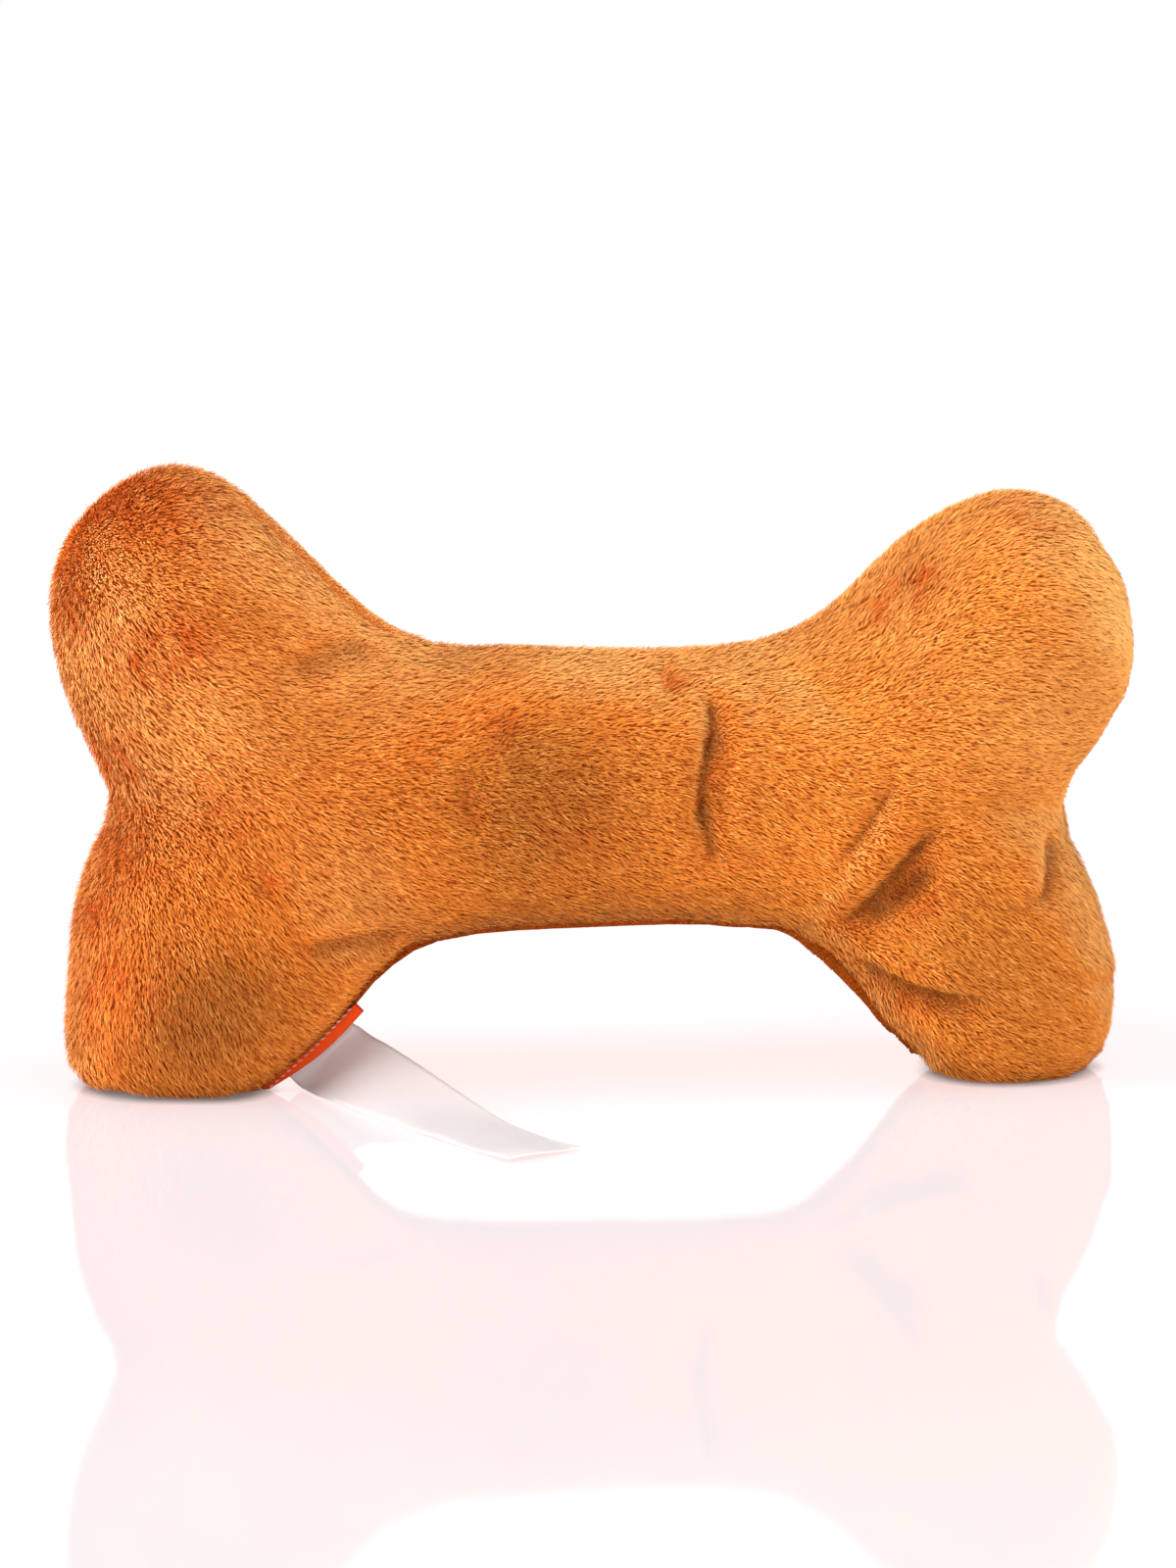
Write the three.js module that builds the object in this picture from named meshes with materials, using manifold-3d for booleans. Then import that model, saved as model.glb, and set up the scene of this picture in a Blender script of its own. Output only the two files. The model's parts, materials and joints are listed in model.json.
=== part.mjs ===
// A stuffed plush bone for dogs: two plush panels sewn together round their outline,
// fibre stuffing in six clumps, a squeaker inside the shaft, and a woven tab and a
// satin care label caught in the seam of the lower left lobe.
// Millimetres, +Z up, the viewer of the toy's front looks along +Y. The origin is the
// centre of the toy's footprint on the floor, its labels included.

import * as THREE from "three";
import { mergeVertices } from "three/addons/utils/BufferGeometryUtils.js";
import Module from "manifold-3d";

const wasm = await Module();
wasm.setup();

// Bone outline, pile included
const shaftLength = 79;
const shaftHeight = 71;
const shaftMidHeight = 72;
const shaftWaist = 1.8;
const upperLeftReach = 91.6;
const upperLeftRise = 79;
const lowerLeftReach = 90.5;
const upperRightReach = 94;
const upperRightRise = 71.8;
const lowerRightReach = 91.8;
const seamLean = 12;

// Puffed depth of one half, pile included
const shaftHalfDepth = 30.5;
const junctionHalfDepth = 34;
const lobeHalfDepth = 36.5;

// Plush and seam
const backingThickness = 1.2;
const pileLength = 2.6;
const seamAllowance = 8;
const allowanceThickness = 1.5;
const seamThreadRadius = 0.5;
const seamThreadRoom = 1.3;
const closingThreadRadius = 0.35;
const closingGapLength = 44;
const ladderStitchWidth = 1.6;
const ladderStitchPitch = 5.5;
const clearance = 0.3;
const stuffingClearance = 0.5;

// Squeaker
const bellowsRadius = 17;
const pleatDepth = 3.4;
const bellowsHeight = 30;
const bellowsWall = 1.2;
const neckRadius = 6.4;
const neckHeight = 6;
const plugLength = 11;
const plugFlangeRadius = 8.2;
const plugFlangeThickness = 1.6;
const plugBoreRadius = 3.4;
const plugBarWidth = 1.8;
const plugBarHeight = 1.6;
const reedWidth = 4;
const reedThickness = 0.4;
const reedLength = 7.5;
const pleatCount = 3;

// Labels
const tabLength = 28.2;
const tabReach = 3.3;
const tabFabric = 0.4;
const ribbonWidth = 20;
const ribbonThickness = 0.35;
const ribbonFreeRun = 5.6;
const ribbonForwardReach = 77;
const ribbonSideReach = 50;
const ribbonFloorGap = 0.25;
const labelGap = 0.6;
const labelLayerGap = 0.6;
const ribbonEndCurl = 1.2;

// Faces round each loop
const shaftSamples = 8;
const slopeSamples = 5;
const tipSamples = 12;
const outerRings = 6;
const innerRings = 4;
const threadSides = 6;
const squeakerSides = 24;
const ribbonStations = 18;
const seamFineSteps = 20;
const halvings = 30;
const tabFoldSegments = 5;

const panelThickness = backingThickness + pileLength;
const halfGap = clearance / 2;
const quarterTurn = Math.PI / 2;

// Outline points of a lobe as [reach, rise, lean] shares. Reach runs from the shaft's
// end to the lobe's far end, rise from the shaft's middle to the lobe's top or to the
// floor, and lean is how far the seam swings towards the viewer.
const upperLeftShares = [
  [0.0, 0.449, 0.1],
  [0.16, 0.553, 0.3],
  [0.39, 0.81, 0.35],
  [0.535, 0.95, 0.2],
  [0.69, 1.0, 0.1],
  [0.865, 0.9, 0],
  [1.0, 0.62, 0],
  [0.965, 0.29, 0],
  [0.853, 0.0, 0],
];
const lowerLeftShares = [
  [0.02, 0.51, 0.35],
  [0.155, 0.59, 0.85],
  [0.29, 0.765, 1.0],
  [0.477, 0.985, 0.8],
  [0.57, 1.065, 0.4],
  [0.69, 1.083, 0.1],
  [0.83, 1.06, 0],
  [0.95, 0.975, 0],
  [0.995, 0.82, 0],
  [0.985, 0.56, 0],
  [0.95, 0.3, 0],
];
const upperRightShares = [
  [0.0, 0.489, 0],
  [0.17, 0.575, 0],
  [0.386, 0.83, 0],
  [0.541, 0.954, 0],
  [0.697, 1.0, 0],
  [0.86, 0.918, 0],
  [0.975, 0.7, 0],
  [1.0, 0.44, 0],
  [0.95, 0.2, 0],
  [0.821, -0.085, 0],
];
const lowerRightShares = [
  [0.0, 0.488, 0.3],
  [0.17, 0.59, 0.7],
  [0.275, 0.73, 0.8],
  [0.43, 0.94, 0.5],
  [0.53, 1.03, 0.2],
  [0.7, 1.083, 0],
  [0.85, 1.055, 0],
  [0.95, 0.965, 0],
  [0.995, 0.84, 0],
  [0.985, 0.62, 0],
  [0.93, 0.38, 0],
];

// Places on the spine, as shares of the same reach and rise
const junctionShares = [0.4, 0.0];
const lobeCentreShares = [0.64, 0.52];
// Outline points that a slope, a tip and the other slope end at
const tipStartIndex = 2;
const tipEndIndexFromNotch = 2;
// Places of the labels along the lower left slope, and of the squeaker in the shaft
const labelPlaceShare = 0.56;
const squeakerPlaceShare = 0.5;
const closingPlaceShare = 0.5;
// The ribbon's middle line from its bend to its end, as [run, drop] shares, and how
// soon along its length it has twisted level
const ribbonDropShares = [[0.12, 0.2], [0.45, 0.6], [0.8, 0.93]];
const ribbonTwistShare = 1.1;

const mix = (a, b, share) => a + (b - a) * share;
const smooth = (share) => share * share * (3 - 2 * share);

// Turns a mesh the right way out
function outward(geometry) {
  const place = geometry.attributes.position;
  const index = geometry.index;
  const [a, b, c] = [new THREE.Vector3(), new THREE.Vector3(), new THREE.Vector3()];
  let volume = 0;
  for (let i = 0; i < index.count; i += 3) {
    a.fromBufferAttribute(place, index.getX(i));
    b.fromBufferAttribute(place, index.getX(i + 1));
    c.fromBufferAttribute(place, index.getX(i + 2));
    volume += a.dot(b.cross(c));
  }
  if (volume < 0) {
    for (let i = 0; i < index.count; i += 3) {
      const first = index.getX(i);
      index.setX(i, index.getX(i + 1));
      index.setX(i + 1, first);
    }
  }
  return geometry;
}

// Merged, position-only copy of a geometry, without triangles that have shrunk away
function welded(geometry) {
  const bare = new THREE.BufferGeometry();
  bare.setAttribute("position", geometry.attributes.position);
  bare.setIndex(geometry.index);
  const merged = mergeVertices(bare);
  const kept = [];
  for (let i = 0; i < merged.index.count; i += 3) {
    const corners = [0, 1, 2].map((k) => merged.index.getX(i + k));
    if (new Set(corners).size === 3) kept.push(...corners);
  }
  merged.setIndex(kept);
  return outward(merged);
}

function toSolid(geometry) {
  const shape = welded(geometry);
  const mesh = new wasm.Mesh({
    numProp: 3,
    vertProperties: new Float32Array(shape.attributes.position.array),
    triVerts: new Uint32Array(shape.index.array),
  });
  return new wasm.Manifold(mesh);
}

function toGeometry(solid) {
  const mesh = solid.getMesh();
  const geometry = new THREE.BufferGeometry();
  geometry.setAttribute("position", new THREE.BufferAttribute(mesh.vertProperties, 3));
  geometry.setIndex(new THREE.BufferAttribute(mesh.triVerts, 1));
  return geometry;
}

// Skin through a row of closed loops with the same number of points, each of its
// four-sided cells split along the shorter diagonal
function skin(loops) {
  const count = loops[0].length;
  const points = loops.flat();
  const places = points.flatMap((p) => [p.x, p.y, p.z]);
  const faces = [];
  for (let ring = 0; ring + 1 < loops.length; ring++) {
    for (let k = 0; k < count; k++) {
      const a = ring * count + k;
      const b = ring * count + ((k + 1) % count);
      const [c, d] = [b + count, a + count];
      if (points[a].distanceTo(points[c]) < points[b].distanceTo(points[d])) {
        faces.push(a, b, c, a, c, d);
      } else {
        faces.push(a, b, d, b, c, d);
      }
    }
  }
  const geometry = new THREE.BufferGeometry();
  geometry.setAttribute("position", new THREE.Float32BufferAttribute(places, 3));
  geometry.setIndex(faces);
  return welded(geometry);
}

function boxBetween(low, high) {
  const size = new THREE.Vector3().subVectors(high, low);
  const centre = new THREE.Vector3().addVectors(low, high).divideScalar(2);
  return new THREE.BoxGeometry(size.x, size.y, size.z).translate(centre.x, centre.y, centre.z);
}

// Solid of revolution about Z from [radius, height] points
function turned(points, sides) {
  const profile = points.map(([radius, height]) => new THREE.Vector2(radius, height));
  return new THREE.LatheGeometry(profile, sides).rotateX(quarterTurn);
}

function tube(points, radius, sides, steps) {
  const path = new THREE.CatmullRomCurve3(points);
  const section = new THREE.Shape(
    Array.from({ length: sides }, (_, k) => {
      const angle = (2 * Math.PI * k) / sides;
      return new THREE.Vector2(radius * Math.cos(angle), radius * Math.sin(angle));
    }),
  );
  return new THREE.ExtrudeGeometry(section, { steps, bevelEnabled: false, extrudePath: path });
}

// Lobes: side is -1 left, 1 right; level is 1 upper, -1 lower
const lobes = {
  upperLeft: {
    side: -1, level: 1, reach: upperLeftReach, rise: upperLeftRise, shares: upperLeftShares,
  },
  lowerLeft: {
    side: -1, level: -1, reach: lowerLeftReach, rise: shaftMidHeight, shares: lowerLeftShares,
  },
  upperRight: {
    side: 1, level: 1, reach: upperRightReach, rise: upperRightRise, shares: upperRightShares,
  },
  lowerRight: {
    side: 1, level: -1, reach: lowerRightReach, rise: shaftMidHeight, shares: lowerRightShares,
  },
};

function lobePoint(lobe, [reachShare, riseShare, leanShare = 0]) {
  return new THREE.Vector3(
    lobe.side * (shaftLength / 2 + lobe.reach * reachShare),
    -seamLean * leanShare,
    shaftMidHeight + lobe.level * lobe.rise * riseShare,
  );
}

// Spine of the left or right end: where its two lobes branch off the shaft
function junction(side) {
  const reach = side < 0 ? upperLeftReach : upperRightReach;
  const [reachShare] = junctionShares;
  return new THREE.Vector3(side * (shaftLength / 2 + reach * reachShare), 0, shaftMidHeight);
}

// Seam line: a closed curve through the lobes and the waisted shaft, clockwise from the
// shaft's top left
function seamCurve() {
  const top = [...lobes.upperLeft.shares].reverse().map((s) => lobePoint(lobes.upperLeft, s));
  const bottom = lobes.lowerLeft.shares.map((s) => lobePoint(lobes.lowerLeft, s));
  const right = lobes.upperRight.shares.map((s) => lobePoint(lobes.upperRight, s));
  const foot = [...lobes.lowerRight.shares].reverse().map((s) => lobePoint(lobes.lowerRight, s));
  const waist = (level) =>
    new THREE.Vector3(0, 0, shaftMidHeight + level * (shaftHeight / 2 - shaftWaist));
  return {
    points: [...top, waist(1), ...right, ...foot, waist(-1), ...bottom],
    counts: [top.length, 1, right.length, foot.length, 1, bottom.length],
  };
}

// Even points along a stretch of the closed seam curve, from one of its points to another
function stretch(curve, total, from, to, count) {
  const fineSteps = seamFineSteps * (to - from);
  const fine = Array.from({ length: fineSteps + 1 }, (_, k) =>
    curve.getPoint(((from + ((to - from) * k) / fineSteps) / total) % 1),
  );
  const along = [0];
  for (let k = 1; k < fine.length; k++) {
    along.push(along[k - 1] + fine[k].distanceTo(fine[k - 1]));
  }
  const whole = along[along.length - 1];
  return Array.from({ length: count }, (_, k) => {
    const wanted = (whole * k) / count;
    let i = 1;
    while (along[i] < wanted) i++;
    const share = (wanted - along[i - 1]) / (along[i] - along[i - 1]);
    return fine[i - 1].clone().lerp(fine[i], share);
  });
}

// Samples round the outline: seam point, the spine point it belongs to and the depth there
function outlineSamples() {
  const { points, counts } = seamCurve();
  const curve = new THREE.CatmullRomCurve3(points, true, "centripetal");
  const total = points.length;
  const samples = [];
  const add = (from, to, count, spineAt) => {
    stretch(curve, total, from, to, count).forEach((seam, k) => {
      samples.push({ seam, ...spineAt(k / count) });
    });
  };
  const [leftEnd, rightEnd] = [junction(-1), junction(1)];
  const along = (share) => ({
    spine: leftEnd.clone().lerp(rightEnd, share),
    depth: mix(junctionHalfDepth, shaftHalfDepth, Math.sin(Math.PI * share)),
  });
  const branch = (lobe, start, share) => ({
    spine: start.clone().lerp(lobePoint(lobe, lobeCentreShares), share),
    depth: mix(junctionHalfDepth, lobeHalfDepth, smooth(share)),
  });
  // Slope away from the junction, round the tip, and the slope back
  const lobeStretch = (lobe, start, marks) => {
    add(marks[0], marks[1], slopeSamples, (share) => branch(lobe, start, share));
    add(marks[1], marks[2], tipSamples, () => branch(lobe, start, 1));
    add(marks[2], marks[3], slopeSamples, (share) => branch(lobe, start, 1 - share));
  };
  const topLeft = counts[0] - 1;
  const topRight = topLeft + counts[1] + 1;
  const rightNotch = topRight + counts[2] - 1;
  const bottomRight = rightNotch + counts[3];
  const bottomLeft = bottomRight + counts[4] + 1;
  const turn = tipStartIndex;
  const back = tipEndIndexFromNotch;
  lobeStretch(lobes.upperLeft, leftEnd, [0, back, topLeft - turn, topLeft]);
  add(topLeft, topRight, shaftSamples, along);
  lobeStretch(lobes.upperRight, rightEnd, [
    topRight, topRight + turn, rightNotch - back, rightNotch,
  ]);
  lobeStretch(lobes.lowerRight, rightEnd, [
    rightNotch, rightNotch + back, bottomRight - turn, bottomRight,
  ]);
  add(bottomRight, bottomLeft, shaftSamples, (share) => along(1 - share));
  lobeStretch(lobes.lowerLeft, leftEnd, [bottomLeft, bottomLeft + turn, total - back, total]);
  return { samples, curve, total, bottomLeft, bottomRight };
}

const outline = outlineSamples();

// A loop of the puffed form: inset is how deep it lies under the surface, angle is 0 at
// the seam and a quarter turn at the spine, half is -1 in front and 1 behind, and gap is
// how far from the seam's plane the form begins. The lobes stand flat on the floor.
function loop(half, inset, angle, gap = halfGap) {
  return outline.samples.map(({ seam, spine, depth }) => {
    const edge = new THREE.Vector3(seam.x, 0, seam.z);
    const centre = new THREE.Vector3(spine.x, 0, spine.z);
    edge.lerp(centre, inset / edge.distanceTo(centre));
    const out = Math.cos(angle);
    const place = centre.lerp(edge, out);
    const crown = halfGap + depth - inset;
    const y = seam.y * out * out + half * mix(gap, crown, Math.sin(angle));
    return new THREE.Vector3(place.x, y, Math.max(place.z, inset));
  });
}

function dome(half, inset, rings, gap) {
  return Array.from({ length: rings + 1 }, (_, k) =>
    loop(half, inset, (quarterTurn * (rings - k)) / rings, gap),
  );
}

// Plush panel with its seam allowance turned in
function panel(half) {
  const allowanceTop = halfGap + allowanceThickness;
  return skin([
    ...dome(half, 0, outerRings, halfGap),
    loop(half, seamAllowance, 0, halfGap),
    loop(half, seamAllowance, 0, allowanceTop),
    ...dome(half, panelThickness, innerRings, allowanceTop).reverse(),
  ]);
}

const threadInset = seamAllowance + seamThreadRoom + seamThreadRadius;

// All the stuffing in one piece, clear of the panels, the allowance and its thread
function stuffing() {
  const inset = panelThickness + stuffingClearance;
  const grooveInset = threadInset + seamThreadRadius + seamThreadRoom;
  const grooveHalf = halfGap + allowanceThickness + stuffingClearance;
  return toSolid(
    skin([
      ...dome(-1, inset, innerRings, grooveHalf),
      loop(-1, grooveInset, 0, grooveHalf),
      loop(1, grooveInset, 0, grooveHalf),
      ...dome(1, inset, innerRings, grooveHalf).reverse(),
    ]),
  );
}

// Squeaker: a pleated bulb with an open neck, standing in the middle of the shaft
const squeakerX = mix(-shaftLength / 2, shaftLength / 2, squeakerPlaceShare);
const bellowsBottom = shaftMidHeight - (bellowsHeight + neckHeight) / 2;
const shoulderHeight = bellowsBottom + bellowsHeight;
const neckTop = shoulderHeight + neckHeight;

function bellows() {
  const pleats = (wall) => {
    const pitch = (bellowsHeight - 2 * bellowsWall) / pleatCount;
    const points = [];
    for (let k = 0; k <= 2 * pleatCount; k++) {
      const radius = k % 2 ? bellowsRadius : bellowsRadius - pleatDepth;
      points.push([radius - wall, bellowsBottom + bellowsWall + (k * pitch) / 2]);
    }
    return points;
  };
  const base = bellowsRadius - pleatDepth;
  return turned(
    [
      [0, bellowsBottom],
      [base, bellowsBottom],
      ...pleats(0),
      [base, shoulderHeight],
      [neckRadius, shoulderHeight],
      [neckRadius, neckTop],
      [neckRadius - bellowsWall, neckTop],
      [neckRadius - bellowsWall, shoulderHeight - bellowsWall],
      ...pleats(bellowsWall).reverse(),
      [0, bellowsBottom + bellowsWall],
    ],
    squeakerSides,
  );
}

// Reed holder: a flanged sleeve in the bulb's neck, with a bar across its lower end
const plugRadius = neckRadius - bellowsWall - clearance;
const plugTop = neckTop + clearance + plugFlangeThickness;
const plugBottom = plugTop - plugLength;

function plug() {
  const sleeve = toSolid(
    turned(
      [
        [plugBoreRadius, plugBottom],
        [plugRadius, plugBottom],
        [plugRadius, plugTop - plugFlangeThickness],
        [plugFlangeRadius, plugTop - plugFlangeThickness],
        [plugFlangeRadius, plugTop],
        [plugBoreRadius, plugTop],
        [plugBoreRadius, plugBottom],
      ],
      squeakerSides,
    ),
  );
  const barEnd = (plugBoreRadius + plugRadius) / 2;
  const bar = toSolid(
    boxBetween(
      new THREE.Vector3(-barEnd, -plugBarWidth / 2, plugBottom),
      new THREE.Vector3(barEnd, plugBarWidth / 2, plugBottom + plugBarHeight),
    ),
  );
  return toGeometry(sleeve.add(bar));
}

function reed() {
  const foot = plugBottom + plugBarHeight + clearance;
  return boxBetween(
    new THREE.Vector3(-reedWidth / 2, -reedThickness / 2, foot),
    new THREE.Vector3(reedWidth / 2, reedThickness / 2, foot + reedLength),
  );
}

// Room that the squeaker takes out of the stuffing
function squeakerPocket() {
  const flangeRoom = plugFlangeRadius + clearance;
  return toSolid(
    turned(
      [
        [0, bellowsBottom - clearance],
        [bellowsRadius + clearance, bellowsBottom - clearance],
        [bellowsRadius + clearance, shoulderHeight + clearance],
        [flangeRoom, shoulderHeight + clearance],
        [flangeRoom, plugTop + clearance],
        [0, plugTop + clearance],
      ],
      squeakerSides,
    ).translate(squeakerX, 0, 0),
  );
}

// Stuffing clumps: four lobes beyond the shaft's ends, and a front and a back half
// that hold the squeaker between them
function clumps() {
  const whole = stuffing();
  const far = 2 * (shaftLength + upperLeftReach + upperRightReach);
  const shaftEnd = shaftLength / 2;
  const cut = (low, high) =>
    whole.intersect(toSolid(boxBetween(new THREE.Vector3(...low), new THREE.Vector3(...high))));
  const lobeClump = ({ side, level }) => {
    const x = [side * (shaftEnd + halfGap), side * far].sort((a, b) => a - b);
    const edge = shaftMidHeight + level * halfGap;
    const z = [edge, edge + level * far].sort((a, b) => a - b);
    return cut([x[0], -far, z[0]], [x[1], far, z[1]]);
  };
  const shaftClump = (half) => {
    const y = [half * halfGap, half * far].sort((a, b) => a - b);
    const block = cut([halfGap - shaftEnd, y[0], -far], [shaftEnd - halfGap, y[1], far]);
    return block.subtract(squeakerPocket());
  };
  return {
    fill_upper_left: lobeClump(lobes.upperLeft),
    fill_lower_left: lobeClump(lobes.lowerLeft),
    fill_upper_right: lobeClump(lobes.upperRight),
    fill_lower_right: lobeClump(lobes.lowerRight),
    fill_shaft_front: shaftClump(-1),
    fill_shaft_back: shaftClump(1),
  };
}

// The turning gap is on the shaft's under edge
const closingCentre = mix(-shaftLength / 2, shaftLength / 2, closingPlaceShare);
const inClosingGap = ({ seam }) =>
  seam.z < shaftMidHeight && Math.abs(seam.x - closingCentre) < closingGapLength / 2;

// Machine thread along the raw edges of the allowances, open at the turning gap
function seamThread() {
  const samples = loop(1, threadInset, 0, 0);
  const open = outline.samples.map(inClosingGap);
  const start = open.lastIndexOf(true) + 1;
  const kept = samples.length - open.filter(Boolean).length;
  const points = Array.from({ length: kept }, (_, k) => samples[(start + k) % samples.length]);
  return tube(points, seamThreadRadius, threadSides, points.length);
}

// Under edge of the shaft at a place along it
function underEdge(x) {
  const { curve, total, bottomLeft, bottomRight } = outline;
  let [low, high] = [bottomRight / total, bottomLeft / total];
  for (let step = 0; step < halvings; step++) {
    const middle = (low + high) / 2;
    if (curve.getPoint(middle).x > x) low = middle;
    else high = middle;
  }
  return curve.getPoint(low);
}

// Hand ladder stitch that draws the turning gap shut, just under the seam
function closingThread() {
  const stitches = Math.round(closingGapLength / ladderStitchPitch);
  const drop = clearance + 2 * closingThreadRadius;
  const points = Array.from({ length: 2 * stitches + 1 }, (_, k) => {
    const x = closingCentre + closingGapLength * (k / (2 * stitches) - 1 / 2);
    const edge = underEdge(x);
    const swing = k % 2 ? ladderStitchWidth / 2 : -ladderStitchWidth / 2;
    return new THREE.Vector3(x, edge.y + swing, edge.z - drop);
  });
  return tube(points, closingThreadRadius, threadSides, 4 * stitches);
}

// Where the labels leave the seam on the lower left slope: a point just outside the
// seam, the seam's run there and the direction that the labels stand out in
function labelPlace() {
  const { curve, total, bottomLeft } = outline;
  const at = (bottomLeft + 2 * tipStartIndex * labelPlaceShare) / total;
  const along = curve.getTangent(at).negate().normalize();
  const outwards = new THREE.Vector3(along.z, 0, -along.x).normalize();
  const point = curve.getPoint(at).addScaledVector(outwards, labelGap);
  return { point, along, outwards };
}

// Woven tab: a strip folded along its outer edge, its two layers a hair apart
function tab() {
  const { point, along, outwards } = labelPlace();
  const half = tabFabric + halfGap;
  const root = 0;
  const foldCentre = tabReach - half;
  const section = new THREE.Shape();
  section.moveTo(root, half);
  section.lineTo(foldCentre, half);
  section.absarc(foldCentre, 0, half, quarterTurn, -quarterTurn, true);
  section.lineTo(root, -half);
  section.lineTo(root, -halfGap);
  section.lineTo(foldCentre, -halfGap);
  section.absarc(foldCentre, 0, halfGap, -quarterTurn, quarterTurn, false);
  section.lineTo(root, halfGap);
  const strip = new THREE.ExtrudeGeometry(section, {
    depth: tabLength, bevelEnabled: false, curveSegments: tabFoldSegments,
  }).translate(0, 0, -tabLength / 2);
  const across = new THREE.Vector3().crossVectors(along, outwards);
  const turn = new THREE.Matrix4().makeBasis(outwards, across, along);
  return strip.applyMatrix4(turn).translate(point.x, point.y, point.z);
}

// Satin ribbon: out of the seam behind the tab, round under it and forward to the floor
function ribbon() {
  const { point, along, outwards } = labelPlace();
  const root = point.clone();
  root.y += tabFabric + halfGap + labelLayerGap + ribbonThickness / 2;
  const bend = root.clone().addScaledVector(outwards, ribbonFreeRun);
  const end = new THREE.Vector3(
    root.x + ribbonSideReach, root.y - ribbonForwardReach, ribbonFloorGap + ribbonEndCurl,
  );
  const lying = ribbonFloorGap + ribbonThickness;
  const middles = ribbonDropShares.map(([run, drop]) => {
    const place = bend.clone().lerp(end, run);
    place.z = mix(bend.z, lying, drop);
    return place;
  });
  const path = new THREE.CatmullRomCurve3([root, bend, ...middles, end]);
  const loops = Array.from({ length: ribbonStations + 1 }, (_, k) => {
    const share = k / ribbonStations;
    const centre = path.getPointAt(share);
    const forward = path.getTangentAt(share);
    const level = new THREE.Vector3(-forward.y, forward.x, 0).normalize();
    const wide = along.clone().lerp(level, Math.min(1, share * ribbonTwistShare));
    wide.addScaledVector(forward, -wide.dot(forward)).normalize();
    centre.z = Math.max(centre.z, lying + (ribbonWidth / 2) * Math.abs(wide.z));
    const thick = new THREE.Vector3().crossVectors(forward, wide);
    return [[-1, -1], [1, -1], [1, 1], [-1, 1]].map(([w, t]) =>
      centre
        .clone()
        .addScaledVector(wide, (w * ribbonWidth) / 2)
        .addScaledVector(thick, (t * ribbonThickness) / 2),
    );
  });
  const closed = [loops[0].map(() => loops[0][0]), ...loops, loops.at(-1).map(() => loops.at(-1)[0])];
  return skin(closed);
}

function material(color, roughness, metalness = 0) {
  return new THREE.MeshStandardMaterial({ color, roughness, metalness });
}

const plush = material(0xc8702e, 0.95);
const fibre = material(0xf1efe8, 1);
const stitching = material(0xb5622a, 0.8);
const woven = material(0xd8321c, 0.7);
const satin = material(0xf7f3f2, 0.35);
const squeakerPlastic = material(0xf2f0e6, 0.5);
const reedPlastic = material(0xd9d7cf, 0.4);

const toy = new THREE.Group();

function piece(name, geometry, look) {
  const mesh = new THREE.Mesh(geometry, look);
  mesh.name = name;
  toy.add(mesh);
  return mesh;
}

piece("front_panel", panel(-1), plush);
piece("back_panel", panel(1), plush);
piece("seam_thread", seamThread(), stitching);
piece("closing_thread", closingThread(), stitching);
for (const [name, solid] of Object.entries(clumps())) {
  piece(name, toGeometry(solid), fibre);
}
for (const [name, geometry, look] of [
  ["squeaker_bellows", bellows(), squeakerPlastic],
  ["squeaker_plug", plug(), squeakerPlastic],
  ["squeaker_reed", reed(), reedPlastic],
]) {
  piece(name, geometry, look).position.x = squeakerX;
}
piece("tab_label", tab(), woven);
piece("care_label", ribbon(), satin);

// The footprint's centre goes to the origin
const extent = new THREE.Box3().setFromObject(toy);
const middle = extent.getCenter(new THREE.Vector3());
toy.position.set(-middle.x, -middle.y, 0);

export default toy;
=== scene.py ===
"""A bone-shaped plush toy: two sewn plush panels with their pile, two labels in the seam,
fibre stuffing and a squeaker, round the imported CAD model."""

import json
import math

import bmesh
import bpy
import numpy as np
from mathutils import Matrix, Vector, noise as value_noise
from mathutils.bvhtree import BVHTree
from mathutils.kdtree import KDTree


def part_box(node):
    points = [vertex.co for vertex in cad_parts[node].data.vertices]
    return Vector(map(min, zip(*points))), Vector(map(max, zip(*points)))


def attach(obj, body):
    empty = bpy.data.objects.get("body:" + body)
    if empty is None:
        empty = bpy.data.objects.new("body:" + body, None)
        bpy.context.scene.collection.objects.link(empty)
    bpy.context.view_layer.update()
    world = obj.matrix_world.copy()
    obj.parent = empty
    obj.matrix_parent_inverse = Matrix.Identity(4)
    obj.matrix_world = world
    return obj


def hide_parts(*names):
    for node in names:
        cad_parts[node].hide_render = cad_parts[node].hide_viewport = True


bl_info = {
    "name": "Plush bone toy",
    "version": (1, 0, 0),
    "blender": (4, 5, 0),
    "location": "3D View > Sidebar > Plush bone",
    "description": "Builds a sewn plush bone with its pile, labels, stuffing and squeaker",
    "category": "Add Mesh",
}

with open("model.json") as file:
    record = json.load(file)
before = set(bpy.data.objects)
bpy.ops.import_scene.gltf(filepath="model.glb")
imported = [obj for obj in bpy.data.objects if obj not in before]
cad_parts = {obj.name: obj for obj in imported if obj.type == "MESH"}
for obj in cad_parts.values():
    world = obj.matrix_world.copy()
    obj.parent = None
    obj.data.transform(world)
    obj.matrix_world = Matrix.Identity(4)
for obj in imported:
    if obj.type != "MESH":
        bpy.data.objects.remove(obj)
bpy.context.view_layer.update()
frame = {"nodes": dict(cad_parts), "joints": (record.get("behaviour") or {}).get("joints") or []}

MM = 0.001
WELD = 1e-6
FRONT, BACK = "front", "back"

# Which way along Y each side of the toy faces
OUTWARD_Y = {FRONT: -1, BACK: 1}


def middle_of(node):
    low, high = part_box(node)
    return (Vector(low) + Vector(high)) / 2


# The upright plane that the seam lies near, where the squeaker's middle is too
SEAM_PLANE_Y = middle_of("squeaker_bellows").y

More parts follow.
